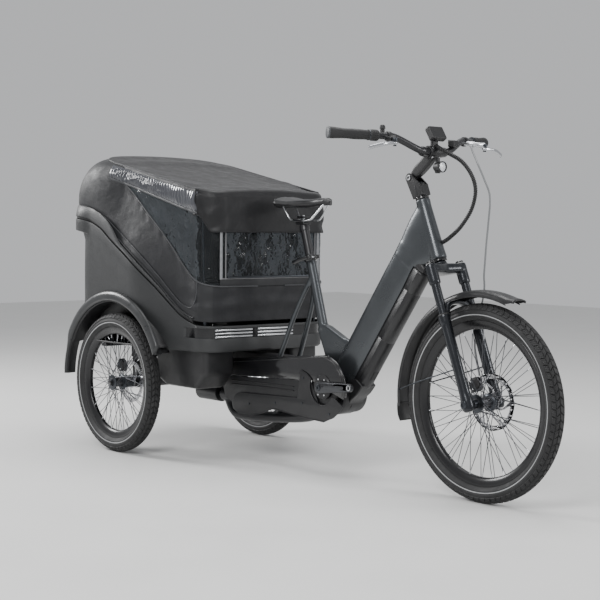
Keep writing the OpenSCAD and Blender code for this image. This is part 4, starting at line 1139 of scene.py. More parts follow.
def battery():
    """Battery pack set into the underside of the down tube: rounded cover, lock and charging flap."""
    rings = []
    for x, shrink in ((-318, 8), (-316.5, 4), (-312, 1), (-304, 0), (-120, 0), (-119, 0.8), (-117, 0.8),
                      (-116, 0), (80, 0), (81, 0.8), (83, 0.8), (84, 0), (156, 0), (162, 1.2), (165, 5)):
        ring = []
        for z, y in ((-29, 26.5), (-70, 26.5), (-72, 28), (-82, 27.5), (-90, 24), (-95, 18), (-98, 9),
                     (-99, 0),
                     (-98, -9), (-95, -18), (-90, -24), (-82, -27.5), (-72, -28), (-70, -26.5), (-29, -26.5)):
            w = max(0.0, abs(y) - shrink * 0.8) * (1 if y >= 0 else -1)
            ring.append(down(x, w, min(-28, max(z, -99)) * 0.985 + shrink * 0.6 * (z < -60)))
        rings.append(ring)
    pack = loft("battery_cover", rings, SATIN, "battery_pack", 40)
    soften(pack, 1.2 * MM, 2, 50)
    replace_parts(pack, "battery")
    cap_rings = []
    for x, shrink in ((166, 3), (168, 1), (174, 0), (184, 3), (189, 9)):
        cap_rings.append([down(x, y * (1 - shrink / 40), z + shrink) for z, y in (
            (-30, 26), (-72, 27.5), (-88, 24), (-95, 12), (-96.5, 0), (-95, -12), (-88, -24), (-72, -27.5),
            (-30, -26))])
    soften(loft("battery_cap", cap_rings, SATIN, "front_frame", 40), 1.5 * MM, 2, 40)
    flap = Matrix((DOWN_UP, (0, 1, 0), DOWN_OUT)).transposed()
    block("charge_flap", down(-258, 0, -97), (34 * MM, 20 * MM, 3 * MM), RUBBER, "battery_pack", 1.2 * MM,
          flap)
    lock = mm((0.3, 0), (6, 0), (7.5, 1), (7.5, 3), (0.3, 3))
    turned("battery_lock", lock, down(120, 27, -58), (0, 1, 0), ALLOY, "battery_pack", 32)


def seat_clamp():
    """Seat post with its clamp and quick release lever."""
    post = [(0.5 * MM, -0.15), (15.5 * MM, -0.15), (15.5 * MM, 0.094), (17.5 * MM, 0.096), (18 * MM, 0.112),
            (15 * MM, 0.118), (14 * MM, 0.124), (0.5 * MM, 0.124)]
    turned("seat_post", post, SEAT_TOP, SEAT_DIR, DARK_PAINT, "seat", 48)
    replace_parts(bpy.data.objects["seat_post"], "seatpost")
    side = Vector((SEAT_DIR.z, 0, -SEAT_DIR.x))
    collar = mm((17.7, -16), (21, -16), (22.5, -14), (23, -8), (22.5, -3), (21, -1), (17.7, -1))
    turned("seat_clamp_ring", collar, SEAT_TOP, SEAT_DIR, GLOSS, "front_frame", 48)
    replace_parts(bpy.data.objects["seat_clamp_ring"], "seat_collar")
    turn = Matrix((side, (0, 1, 0), SEAT_DIR)).transposed()
    for s in (-1, 1):
        ear = SEAT_TOP + side * 30 * MM + SEAT_DIR * -8.5 * MM + Vector((0, s * 7 * MM, 0))
        block(f"clamp_ear_{hand(s)}", ear, (18 * MM, 9 * MM, 14 * MM), GLOSS, "front_frame", 2.5 * MM, turn)
    bolt_mid = SEAT_TOP + side * 31 * MM + SEAT_DIR * -8.5 * MM
    rods("clamp_bolt", [(bolt_mid + Vector((0, -22 * MM, 0)), bolt_mid + Vector((0, 19 * MM, 0)))], 3.4 * MM,
         ALLOY, "front_frame", 16)
    cam = mm((0.3, -8), (7, -8), (9, -6), (9, 6), (7, 8), (0.3, 8))
    hinge = bolt_mid + Vector((0, -32 * MM, 0))
    turned("quick_cam", cam, hinge, SEAT_DIR, GLOSS, "seat_clamp_lever", 32)
    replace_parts(bpy.data.objects["quick_cam"], "qr_lever")
    path = curve_points([hinge, hinge - side * 20 * MM + Vector((0, -6 * MM, 0)),
                         hinge - side * 48 * MM + Vector((0, -10 * MM, 0)),
                         hinge - side * 78 * MM + Vector((0, -11 * MM, 0))], 8)
    rings = sweep_rings(path, lambda t: [(a * (1 + 0.25 * ease(t)), b)
                                         for a, b in super_ring(6 * MM, 3.4 * MM, 2.5, 20)], SEAT_DIR)
    loft("quick_lever", rings, GLOSS, "seat_clamp_lever")


def saddle_half(t):
    """Half width of the saddle in millimetres, from its tail (0) to its nose (1)."""
    return lerp(78, 20, ease((t - 0.10) / 0.62)) * (1 - 0.42 * ease((0.16 - t) / 0.16))


def saddle_top(t):
    return 945 + 11 * ease((0.42 - t) / 0.42) + 3 * ease((t - 0.6) / 0.35)


def saddle():
    """Saddle: a loft of cross sections from the tail to the nose, with seams, rails and their clamp."""
    rings = []
    for x in steps(548, 802, 44):
        t = (x - 548) / 254
        tail = ease((0.16 - t) / 0.16)
        nose = ease((t - 0.93) / 0.07)
        half = saddle_half(t) * (1 - 0.75 * nose)
        top = saddle_top(t) - 8 * tail ** 2 - 9 * nose
        skirt = lerp(34, 24, t) * (1 - 0.3 * nose)
        ring = []
        for k in range(40):
            a = 2 * math.pi * k / 40
            c, s = math.cos(a), math.sin(a)
            y = half * math.copysign(abs(c) ** 0.8, c)
            rise = math.copysign(abs(s) ** 0.75, s)
            z = top - skirt * 0.55 + rise * (skirt * 0.55 if s >= 0 else skirt * 0.5)
            z -= 7 * (abs(y) / 78) ** 2 * (s >= 0)
            if s > 0:
                z -= 3.2 * math.exp(-(y / 9) ** 2) * ease((0.75 - t) / 0.2) * ease((t - 0.05) / 0.1)
            ring.append(P(x, y, z))
        rings.append(ring)
    cover = loft("saddle_shell", rings, LEATHER, "seat", 60)
    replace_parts(cover, "saddle")
    for s in (-1, 1):
        seam = []
        for x in steps(566, 786, 12):
            t = (x - 548) / 254
            y = saddle_half(t) * 0.93
            seam.append(P(x, s * y, saddle_top(t) - 7.6 * (y / 78) ** 2 - 5.4))
        tube(f"saddle_seam_{hand(s)}", seam, 0.9 * MM, PIPING, "seat", 8, 4)
    rail_z = 871.2
    for s in (-1, 1):
        tube(f"saddle_rail_{hand(s)}", [P(778, s * 12, 926), P(745, s * 18, rail_z + 22),
                                        P(714, s * 22, rail_z), P(665, s * 22, rail_z - 0.5),
                                        P(618, s * 22, rail_z), P(596, s * 26, rail_z + 24),
                                        P(578, s * 30, 928)], 3.5 * MM, ALLOY, "seat", 14)
    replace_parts(bpy.data.objects["saddle_rail_left"], "saddle_rails")
    head = SEAT_TOP + SEAT_DIR * 126 * MM
    for k, (dz, hx, hy, hz) in enumerate(((-4, 44, 34, 9), (8, 46, 62, 8), (18, 36, 30, 7))):
        block(f"saddle_clamp_{k}", Vector((head.x - 2 * MM, 0, rail_z * MM + (dz - 8) * MM)),
              (hx * MM, hy * MM, hz * MM), DARK_PAINT, "seat", 2.8 * MM)
    rods("saddle_bolt", [(Vector((head.x, 0, (rail_z - 20) * MM)), Vector((head.x, 0, (rail_z + 17) * MM)))],
         4 * MM, ALLOY, "seat", 12)


def front_frame():
    main_frame()
    frame_fittings()
    tube_foot()
    battery()
    seat_clamp()
    saddle()


# --- fork, front brake and mudguard --------------------------------------------------------------

def fork_crown():
    """Crown with its stanchions, knobs and steerer."""
    crown_path = [(FORK_OFFSET, -LEG_Y), (FORK_OFFSET * 0.93, -LEG_Y * 0.72),
                  (FORK_OFFSET * 0.55, -LEG_Y * 0.38), (FORK_OFFSET * 0.2, 0),
                  (FORK_OFFSET * 0.55, LEG_Y * 0.38), (FORK_OFFSET * 0.93, LEG_Y * 0.72),
                  (FORK_OFFSET, LEG_Y)]
    rings = []
    path = curve_points([Vector((u, y, 0)) for u, y in crown_path], 6)
    for p in path:
        t = abs(p.y) / LEG_Y
        wide = lerp(25 * MM, 18.5 * MM, ease(t))
        tall = lerp(18 * MM, 15 * MM, ease(t))
        drop = -35 * MM - 2.5 * MM * ease(t)
        rings.append([steer(p.x + a, p.y, drop + b) for a, b in super_ring(wide, tall, 3.0, 28)])
    parts = [raw_loft(rings)]
    for side in (-1, 1):
        leg = [(0.3, -88), (17.6, -88), (18.6, -80), (18.6, -30), (17.5, -22), (10, -18), (0.3, -18)]
        parts.append(raw_loft([[steer(FORK_OFFSET + max(r, 1) * MM * math.cos(a),
                                      side * LEG_Y + max(r, 1) * MM * math.sin(a), s * MM)
                                      for a in full_turn(28)] for r, s in leg[1:5]]))
    parts.append(raw_loft([[steer(r * MM * math.cos(a), r * MM * math.sin(a), s * MM) for a in full_turn(28)]
                           for r, s in ((24, -48), (23, -20), (21.5, -9.2))]))
    crown = melt("fork_crown", parts, 1.8 * MM, 6, FORK_PAINT, "fork")
    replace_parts(crown, "fork_upper")
    for side in (-1, 1):
        tag = hand(side)
        at = steer(FORK_OFFSET, side * LEG_Y, 0)
        stanchion = [(0.5 * MM, -0.33), (14 * MM, -0.33), (14 * MM, -0.05), (0.5 * MM, -0.05)]
        turned(f"stanchion_{tag}", stanchion, at, STEER_UP, FORK_PAINT, "fork", 40)
        knob = mm((0.4, -18), (13, -18.5), (13, -15), (11.5, -13), (0.4, -12.6))
        turned(f"fork_knob_{tag}", knob, at, STEER_UP, GLOSS, "fork", 24, True, 20)
    steerer = [(0.5 * MM, -10 * MM), (14.3 * MM, -10 * MM), (14.3 * MM, HEAD_LEN + 56 * MM),
               (0.5 * MM, HEAD_LEN + 56 * MM)]
    turned("steerer", steerer, STEER.translation.copy(), STEER_UP, HUB, "fork", 32)


def fork_lowers():
    """The sliding lower legs with their arch, seals, axle and brake caliper."""
    low_parts = []
    for side in (-1, 1):
        leg = [(13, AXLE_S / MM - 22), (18, AXLE_S / MM - 18), (20, AXLE_S / MM - 8), (20, AXLE_S / MM + 10),
               (17.5, AXLE_S / MM + 34), (16.6, AXLE_S / MM + 90), (17, SEAL_S / MM - 34),
               (18.8, SEAL_S / MM - 26), (19.5, SEAL_S / MM - 8), (18.6, SEAL_S / MM)]
        low_parts.append(raw_loft([[steer(FORK_OFFSET + r * MM * math.cos(a),
                                          side * LEG_Y + min(r, 19.2) * MM * math.sin(a), s * MM)
                                          for a in full_turn(28)] for r, s in leg]))
    arch = curve_points([Vector((0, -LEG_Y + 6 * MM, 258 * MM)), Vector((0, -LEG_Y + 12 * MM, 284 * MM)),
                         Vector((0, -44 * MM, 316 * MM)), Vector((0, -18 * MM, 329 * MM)),
                         Vector((0, 18 * MM, 329 * MM)), Vector((0, 44 * MM, 316 * MM)),
                         Vector((0, LEG_Y - 12 * MM, 284 * MM)), Vector((0, LEG_Y - 6 * MM, 258 * MM))], 6)
    rings = sweep_rings(arch, lambda t: super_ring(11.5 * MM, 9 * MM, 3, 20), Vector((1, 0, 0)))
    low_parts.append(raw_loft([[steer(FORK_OFFSET + 1 * MM + p.x, p.y, AXLE_S + p.z) for p in ring]
                               for ring in rings]))
    cuts = []
    for side in (-1, 1):
        cuts.append(raw_loft([[steer(FORK_OFFSET + 14.4 * MM * math.cos(a),
                                     side * LEG_Y + 14.4 * MM * math.sin(a), s) for a in full_turn(40)]
                                     for s in (SEAL_S - 40 * MM, SEAL_S + 20 * MM)]))
    lowers = melt("fork_sliders", low_parts, 1.8 * MM, 5, FORK_PAINT, "fork_slider", cuts)
    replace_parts(lowers, "fork_lowers")
    for side in (-1, 1):
        tag = hand(side)
        seal = mm((14.1, -6), (18.4, -6), (18.8, -2), (17, 1.5), (14.4, 3), (14.1, 3))
        turned(f"fork_seal_{tag}", seal, steer(FORK_OFFSET, side * LEG_Y, SEAL_S), STEER_UP, RUBBER,
               "fork_slider", 40)
        hub_end = Vector((FRONT_HUB.x, side * (LEG_Y + 18 * MM), FRONT_HUB.z))
        nut = mm((0.4, 0), (12, 0), (12.5, 1.5), (11, 4.5), (6, 5.2), (5, 3), (0.4, 3))
        turned(f"axle_end_{tag}", nut, hub_end, (0, side, 0), HUB, "fork_slider", 32)
    shaft = mm((0.5, -86), (7.4, -86), (7.4, 86), (0.5, 86))
    turned("front_axle_shaft", shaft, FRONT_HUB, (0, 1, 0), HUB, "fork_slider", 24)
    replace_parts(bpy.data.objects["front_axle_shaft"], "front_axle")
    caliper("caliper_front", steer(FORK_OFFSET - 44 * MM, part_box("front_disc")[1].y - 1 * MM,
                                   AXLE_S + 70 * MM), STEER.to_3x3(), "fork_slider")
    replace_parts(bpy.data.objects["caliper_front_body"], "front_caliper")


def caliper(name, at, turn, body):
    """Brake caliper: two halves bridged over the disc, bolts and a pad on each side."""
    parts = []
    for side in (-1, 1):
        ring = []
        for t in steps(0, 1, 6):
            y = side * lerp(3.2, 12.5, t) * MM
            shrink = 1 - 0.28 * ease((t - 0.45) / 0.55)
            ring.append([at + turn @ Vector((a, y, b))
                         for a, b in super_ring(20 * MM * shrink, 23 * MM * shrink, 3.4, 28)])
        parts.append(raw_loft(ring))
    parts.append(raw_loft([[at + turn @ Vector((a, y * MM, b))
                            for a, b in [(u - 17.5 * MM, v)
                                         for u, v in super_ring(4.5 * MM, 14 * MM, 3, 20)]]
                                         for y in (-11, 0, 11)]))
    melt(f"{name}_body", parts, 1.2 * MM, 3, BLACK, body)
    bolts = []
    for side in (-1, 1):
        for dz in (-12 * MM, 12 * MM):
            p = at + turn @ Vector((-8 * MM, side * 11 * MM, dz))
            bolts.append((p, p + turn @ Vector((0, side * 2.6 * MM, 0))))
    rods(f"{name}_bolts", bolts, 3.2 * MM, ALLOY, body, 6)
    inner = at + turn @ Vector((2 * MM, 0, 0))
    for side in (-1, 1):
        block(f"{name}_pad_{hand(side)}", inner + turn @ Vector((4 * MM, side * 2.4 * MM, 0)),
              (26 * MM, 2.2 * MM, 22 * MM), STEEL, body, 0.4 * MM, turn)


def mudguard():
    """Curved mudguard with rolled edges, a flared front tip, a rubber flap and wire stays."""
    cx, cz = FRONT_HUB.x, FRONT_HUB.z
    section = [(-17.5, -33), (-15, -33.4), (-8, -32), (-3, -29), (0.5, -23), (2.4, -14), (3, -5), (3, 5),
               (2.4, 14), (0.5, 23), (-3, 29), (-8, 32), (-15, 33.4), (-17.5, 33)]
    rings = []
    for a in steps(66, 187, 72):
        t = math.radians(a)
        tip = ease((72 - a) / 6)
        narrow = 1 - 0.18 * tip
        out = Vector((math.cos(t), 0, math.sin(t)))
        base = Vector((cx, 0, cz))
        lip = 7 * MM * tip
        ring = []
        for r, y in section:
            reach = 346 * MM + r * MM * (1 - 0.5 * tip) + lip
            ring.append(base + out * reach + Vector((0, y * narrow * MM, 0)))
        rings.append(ring)
    shell = sheet("mudguard_shell", rings, SATIN, "fork_slider", 2.2 * MM, 45)
    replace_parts(shell, "front_fender")
    for side in (-1, 1):
        edge = [Vector((x, side * 33 * MM, z)) for x, z in arc((cx, cz), 329 * MM, 70, 187, 26)]
        tube(f"mudguard_edge_{hand(side)}", edge, 1.8 * MM, SATIN, "fork_slider", 10, 3)
    rings = []
    for a in steps(185, 195, 10):
        t = math.radians(a)
        out = Vector((math.cos(t), 0, math.sin(t)))
        bulge = 2.5 * MM * math.sin(math.radians((a - 185) * 18))
        rings.append([Vector((cx, 0, cz)) + out * (348 * MM + bulge - 3 * MM * (y / 28) ** 2)
                      + Vector((0, y * (1 - 0.1 * ease((a - 192) / 3)) * MM, 0)) for y in steps(-28, 28, 12)])
    sheet("mud_flap", rings, RUBBER, "fork_slider", 3 * MM)
    top = steer(FORK_OFFSET + 1 * MM, 0, AXLE_S + 340 * MM)
    block("mudguard_bracket", top + Vector((-3 * MM, 0, 3 * MM)), (26 * MM, 22 * MM, 10 * MM), BLACK,
          "fork_slider", 2 * MM, STEER.to_3x3())
    for side in (-1, 1):
        tag = hand(side)
        lug = steer(FORK_OFFSET - 14 * MM, side * (LEG_Y - 4 * MM), AXLE_S + 118 * MM)
        rear = Vector((cx - 330 * MM, side * 34 * MM, cz + 14 * MM))
        tube(f"guard_stay_{tag}", [rear, rear.lerp(lug, 0.3) + Vector((0, side * 4 * MM, 2 * MM)),
                                   rear.lerp(lug, 0.75) + Vector((0, side * 6 * MM, 0)), lug], 2.2 * MM, HUB,
                                   "fork_slider", 10)
        rods(f"guard_stay_bolt_{tag}", [(rear - Vector((0, side * 3 * MM, 0)),
                                         rear + Vector((0, side * 4 * MM, 0)))], 4 * MM, HUB, "fork_slider",
                                         6)


def fork():
    fork_crown()
    fork_lowers()
    mudguard()


# --- stem, handlebar and controls ----------------------------------------------------------------

CLAMP = STEM_PIVOT + P(86, 0, 79)
BEND = Vector((GRIP_START.x, -GRIP_START.y, GRIP_START.z))      # left end of the bar's bend
GRIP = Vector((GRIP_DIR.x, -GRIP_DIR.y, GRIP_DIR.z))            # along the left grip
GRIP_LEN = 176 * MM


def flip(v, side):
    return Vector((v.x, v.y * side, v.z))


def side_turn(direction):
    """Turns local x to a direction, keeping y level."""
    x = Vector(direction).normalized()
    y = UP.cross(x).normalized()
    return Matrix((x, y, x.cross(y))).transposed()


def around(points):
    """The convex outline round a set of side-view points."""
    order = sorted(points)
    loop = []
    for run in (order, order[::-1]):
        start = len(loop)
        for p in run:
            while len(loop) > start + 1 and ((loop[-1][0] - loop[-2][0]) * (p[1] - loop[-2][1])
                                             <= (loop[-1][1] - loop[-2][1]) * (p[0] - loop[-2][0])):
                loop.pop()
            loop.append(p)
        loop.pop()
    return loop


def stem():
    """Clamp on the steerer, column with its hinge, and the adjustable arm up to the bar."""
    base = mm((15, 0), (21, 0), (21, 3), (19, 4), (19, 7), (20.5, 8), (20.5, 38), (19, 44), (15, 46),
              (5, 46.5), (0.5, 44))
    turned("stem_clamp", base, steer(0, 0, HEAD_LEN + 8.2 * MM), STEER_UP, GLOSS, "fork", 56)
    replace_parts(bpy.data.objects["stem_clamp"], "stem_base")
    hinge = (STEM_PIVOT.x, STEM_PIVOT.z)
    foot = [steer(u * MM, 0, HEAD_LEN + s * MM) for u, s in ((-22, 9), (22, 9), (22, 46), (-22, 40))]
    cheek = around([(p.x, p.z) for p in foot[:3]] + arc(hinge, 15 * MM, 0, 345, 23))
    core = around([(p.x, p.z) for p in foot])
    slab("stem_column", core, -14 * MM, 14 * MM, BLACK, "fork", 2.5 * MM)
    for side in (-1, 1):
        tag = hand(side)
        plate(f"stem_cheek_{tag}", [cheek], 6 * MM, side_plane(0, side * 17 * MM, 0), BLACK, "fork", 1.8 * MM)
        cap = mm((0.4, 0), (4, 0), (4.5, 2), (8, 2.4), (9, 0.5), (9, -3), (0.4, -3))
        turned(f"stem_pivot_bolt_{tag}", cap, Vector((STEM_PIVOT.x, side * 20 * MM, STEM_PIVOT.z)),
               (0, side, 0), ALLOY, "fork", 28)
    # the arm: a boxy riser between the pivot boss and the bar clamp
    path = [STEM_PIVOT + P(3, 0, 3), STEM_PIVOT + P(22, 0, 18), STEM_PIVOT.lerp(CLAMP, 0.62) + P(4, 0, -4),
            CLAMP - P(2, 0, 8)]
    rings = sweep_rings(curve_points(path, 8), lambda t: super_ring(
        lerp(11, 19, ease(t / 0.45)) * MM, 12.8 * MM, 5.5, 36), Vector((0.7, 0, -0.7)))
    boss = raw_loft([[Vector((STEM_PIVOT.x + r * MM * math.cos(a), y * MM,
                              STEM_PIVOT.z + r * MM * math.sin(a))) for a in full_turn(28)]
                              for r, y in ((12, -13.3), (12, 13.3))])
    shell = raw_loft([[Vector((CLAMP.x + r * MM * math.cos(a), y * MM, CLAMP.z + r * MM * math.sin(a)))
                       for a in full_turn(36)] for r, y in ((20, -24), (21, -21), (21, 21), (20, 24))])
    cut = raw_loft([[Vector((CLAMP.x + 16 * MM * math.cos(a), y * MM, CLAMP.z + 16 * MM * math.sin(a)))
                     for a in full_turn(48)] for y in (-40, 40)])
    arm = melt("stem_neck", [raw_loft(rings), boss, shell], 1.4 * MM, 4, BLACK, "stem", [cut])
    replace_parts(arm, "stem_arm")
    for k, (dy, da) in enumerate(((-15, 40), (15, 40), (-15, -50), (15, -50))):
        t = math.radians(da)
        p = CLAMP + Vector((math.cos(t) * 20.5 * MM, dy * MM, math.sin(t) * 20.5 * MM))
        rods(f"clamp_screw_{k}", [(p, p + Vector((math.cos(t), 0, math.sin(t))) * 2 * MM)], 3.4 * MM, ALLOY,
             "stem", 10)


def handlebar():
    """Swept bar with ribbed grips and their lock rings."""
    right = [CLAMP + P(0, 38, 0), CLAMP + P(4, 75, 8), BEND + P(10, -45, -3), BEND,
             BEND + GRIP * GRIP_LEN * 0.5, BEND + GRIP * GRIP_LEN]
    left_half = curve_points(right, 10)
    path = [flip(p, -1) for p in reversed(left_half)] + [CLAMP + P(0, y, 0) for y in (-20, 0, 20)] + left_half

    def size(t):
        y = abs(t - 0.5)
        return lerp(15.9 * MM, 11.1 * MM, ease((y - 0.055) / 0.035))

    bar = tube("bar", path, size, DARK_PAINT, "stem", 28, 0)
    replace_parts(bar, "handlebar")
    for side in (-1, 1):
        tag = hand(side)
        rings, start = [], 44 * MM
        dirn, origin = flip(GRIP, side), flip(BEND, side)
        y = UP.cross(dirn).normalized()
        z = dirn.cross(y)
        for k in range(105):
            s = start + (GRIP_LEN - 2 * MM - start) * k / 104
            t = k / 104
            palm = 1.6 * math.exp(-((t - 0.35) / 0.22) ** 2) + 3.2 * ease((t - 0.5) / 0.45)
            groove = 0.7 if 8 < k < 92 and k % 4 < 2 else 0.0
            flange = 1.6 if k < 4 else 0.0
            ring = []
            for a in full_turn(32):
                r = (15.0 + palm - groove * (math.cos(a) < 0.5) + flange) * MM
                ring.append(origin + dirn * s + y * r * math.cos(a) + z * r * math.sin(a))
            rings.append(ring)
        loft(f"grip_{tag}", rings, RUBBER, "stem", 30)
        cap = mm((0.5, -3), (18.6, -3), (19, -0.5), (18, 2.6), (12, 3.6), (0.5, 3.8))
        turned(f"grip_end_{tag}", cap, origin + dirn * GRIP_LEN, dirn, GREY, "stem", 32)
        ring = mm((11.2, -6), (15, -6), (15.6, -4), (15.6, 0), (15, 1), (11.2, 1))
        turned(f"grip_lock_{tag}", ring, origin + dirn * 43 * MM, dirn, HUB, "stem", 32)
    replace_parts(bpy.data.objects["grip_left"], "grips")


def twist_shifter():
    """Ribbed twist sleeve inside the right grip."""
    dirn, origin = GRIP_DIR, GRIP_START
    y = UP.cross(dirn).normalized()
    z = dirn.cross(y)
    rings = []
    for k in range(31):
        s = (14.2 + 27.4 * k / 30) * MM
        end = ease(min(k, 30 - k) / 3)
        ring = []
        for i in range(96):
            a = 2 * math.pi * i / 96
            rib = 0.9 * (i % 6 < 3) * (4 < k < 26)
            radius = (15.3 + 1.6 * end + rib) * MM
            ring.append(origin + dirn * s + (y * math.cos(a) + z * math.sin(a)) * radius)
        rings.append(ring)
    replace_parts(loft("shift_sleeve", rings, RUBBER, "shifter", 35), "twist_shifter")


def lever(side, body, node):
    """Brake lever blade: flat, slightly hooked, with a rounded tip."""
    tag = hand(side)
    start = Vector((LEVER_PIVOT.x, side * LEVER_PIVOT.y, LEVER_PIVOT.z))
    path = [start + P(0, side * -2, -3), start + P(4, side * 22, -4), start + P(5, side * 48, -7),
            start + P(-2, side * 70, -12), start + P(-10, side * 90, -18), start + P(-14, side * 97, -20)]
    points = curve_points(path, 8)

    def section(t):
        wide = lerp(6.8, 5.6, ease(t / 0.3)) + 1.8 * ease((t - 0.86) / 0.1) - 4.5 * ease((t - 0.955) / 0.045)
        return super_ring(wide * MM, lerp(4.4, 3.4, t) * MM * (1 - 0.5 * ease((t - 0.96) / 0.04)), 2.6, 20)

    blade = loft(f"lever_blade_{tag}", sweep_rings(points, section, UP), LEVER_METAL, body, 50)
    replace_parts(blade, node)
    eye = mm((3.2, -5), (7.4, -5), (8, -4), (8, 0.5), (7.4, 1.6), (3.2, 1.6))
    turned(f"lever_eye_{tag}", eye, start - P(0, 0, 1), (0, 0, 1), LEVER_METAL, body, 32)


def brake_masters():
    """Lever clamps, master cylinders, reservoirs and lever pins."""
    for side in (-1, 1):
        tag = hand(side)
        mount = flip(BEND + P(5, -21, -1.5), side)
        dirn = flip((BEND - (BEND + P(10, -45, -3))), side).normalized()
        ring = mm((11.4, -7), (15, -7), (16, -5), (16, 5), (15, 7), (11.4, 7))
        turned(f"lever_clamp_{tag}", ring, mount, dirn, BLACK, "stem", 36)
        pivot = Vector((LEVER_PIVOT.x, side * LEVER_PIVOT.y, LEVER_PIVOT.z))
        path = [mount + P(6, 0, -6), mount + P(26, side * 6, -8), pivot + P(-14, side * -8, 9),
                pivot + P(1, 0, 8)]
        rings = sweep_rings(curve_points(path, 8),
                            lambda t: super_ring(lerp(8, 9, t) * MM, lerp(9, 7.5, t) * MM, 2.8, 22), UP)
        loft(f"master_{tag}", rings, BLACK if side < 0 else ALLOY, "stem", 45)
        block(f"reservoir_{tag}", pivot + P(-26, side * -6, 12), (36 * MM, 22 * MM, 13 * MM), BLACK, "stem",
              3.5 * MM, side_turn((1, side * 0.25, -0.1)))
        pin = mm((0.4, -12), (5.5, -12), (5.8, -9.6), (3, -9.2), (3, 4), (8.6, 4.2), (8.8, 12), (7, 13.4),
                 (0.4, 13.6))
        turned(f"lever_pin_{tag}", pin, pivot, (0, 0, 1), HUB, "stem", 32)
    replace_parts(bpy.data.objects["lever_clamp_left"], "controls")


def display():
    """Tilted display with a glass face, and the remote by the left grip."""
    place = CLAMP + P(14, 0, 58)
    tilt = Matrix.Rotation(math.radians(-32), 3, "Y")
    block("display_case", place, (22 * MM, 64 * MM, 46 * MM), BLACK, "stem", 4.5 * MM, tilt)
    block("display_glass", place + tilt @ P(-10.6, 0, 0), (2.4 * MM, 56 * MM, 38 * MM), SCREEN, "stem",
          1 * MM, tilt)
    block("display_arm", CLAMP + P(7, 0, 30), (13 * MM, 26 * MM, 30 * MM), BLACK, "stem", 3.5 * MM)
    block("remote_body", BEND + P(42, -90, -14) + P(0, -24, 0), (24 * MM, 30 * MM, 22 * MM), BLACK, "stem",
          4 * MM, side_turn((1, 0.2, 0)))
    for k in range(3):
        block(f"remote_key_{k}", BEND + P(33, -122 + 9 * k, -2.6), (8 * MM, 6 * MM, 3 * MM), GREY, "stem",
              1 * MM, side_turn((1, 0.2, 0)))


def bell():
    at = flip(BEND, -1) + P(-8, 8, 22)
    block("bell_foot", at - P(0, 0, 8), (12 * MM, 12 * MM, 16 * MM), BLACK, "stem", 2.5 * MM)
    dome = mm((0.4, 14), (5, 13), (8, 10), (9.4, 5), (9.6, 0), (0.4, 0))
    turned("bell_dome", dome, at, (0, 0, 1), BLACK, "stem", 32)


def headlight():
    """Turned lamp with its lens, a lower horn and a bracket."""
    lamp = CLAMP + P(12, 0, -47)
    shell = mm((0.5, 0), (11, 0.5), (14, 4), (16, 12), (17.6, 26), (18, 34), (17, 36), (15.4, 35), (14.6, 31),
               (0.5, 22))
    turned("lamp_shell", shell, lamp, (1, 0, 0), BLACK, "stem", 48)
    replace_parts(bpy.data.objects["lamp_shell"], "headlight")
    glass = mm((0.4, 34.6), (8, 34), (14.8, 32), (14.8, 30), (0.4, 30))
    turned("lamp_glass", glass, lamp, (1, 0, 0), CLEAR, "stem", 40)
    horn = mm((0.4, 0), (7, 0), (9, 3), (10.5, 8), (10, 10), (0.4, 10))
    turned("lamp_horn", horn, CLAMP + P(24, 0, -67), (0, 0, 1), BLACK, "stem", 32)
    block("lamp_bracket", CLAMP + P(23, 0, -27), (11 * MM, 13 * MM, 20 * MM), BLACK, "stem", 2.5 * MM)


def cable_bundle():
    """Wrapped cable bundle from the bars to the head tube."""
    bundle = [CLAMP + P(8, 4, 22), CLAMP + P(34, 2, 10), CLAMP + P(72, 0, -6), P(1405, 4, 1054),
              P(1446, 5, 1010), P(1461, 6, 962), P(1445, 6, 905), P(1400, 8, 852), P(1352, 14, 820),
              P(1322, 20, 806), P(1306, 18, 799)]
    path = curve_points(bundle, 14)
    split = 30
    halves = (("bundle_upper", path[:split + 1], ("stem", "fork")),
              ("bundle_lower", path[split:], ("fork", "front_frame")))
    for name, part, bodies in halves:
        piece = tube(name, part, 5.2 * MM, RUBBER, None, 16, 0)
        wrap = []
        frames = [(centre, a - centre, b - centre)
                  for centre, a, b in sweep_rings(part, lambda t: [(0, 0), (1, 0), (0, 1)])]
        turns = len(part) * 0.7
        count = len(part) * 6
        for k in range(count):
            pos = k / (count - 1) * (len(part) - 1)
            i = min(int(pos), len(part) - 2)
            here, beyond = frames[i], frames[i + 1]
            centre = here[0].lerp(beyond[0], pos - i)
            u = here[1].lerp(beyond[1], pos - i).normalized()
            v = here[2].lerp(beyond[2], pos - i).normalized()
            angle = 2 * math.pi * turns * k / count
            wrap.append(centre + (u * math.cos(angle) + v * math.sin(angle)) * 5.6 * MM)
        coil = tube(name + "_wrap", wrap, 1.5 * MM, BLACK, None, 8, 0)
        for soft in (piece, coil):
            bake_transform(soft)


def brake_hose():
    """Front brake hose from the left master down the fork leg."""
    start = LEVER_PIVOT + P(-34, -14, 6)
    hose_path = [start, start + P(20, -34, -6), P(1388, 90, 1060), P(1433, 76, 1002), P(1456, 78, 950),
                 P(1458, 74, 889), P(1454, 68, 800), P(1450, 64, 700)]
    upper = curve_points(hose_path, 8)
    knee = 32
    tube("hose_upper", upper[:knee + 1], 3 * MM, HOSE, "stem", 12, 0)
    lower_end = steer(FORK_OFFSET - 40 * MM, LEG_Y - 4 * MM, AXLE_S + 96 * MM)
    along_leg = [upper[k] for k in range(knee, len(upper), 4)] + [
        P(1448, 66, 640), steer(FORK_OFFSET - 26 * MM, LEG_Y, AXLE_S + 200 * MM), lower_end]
    low = tube("hose_lower", along_leg, 3 * MM, HOSE, None, 12, 8)
    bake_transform(low)


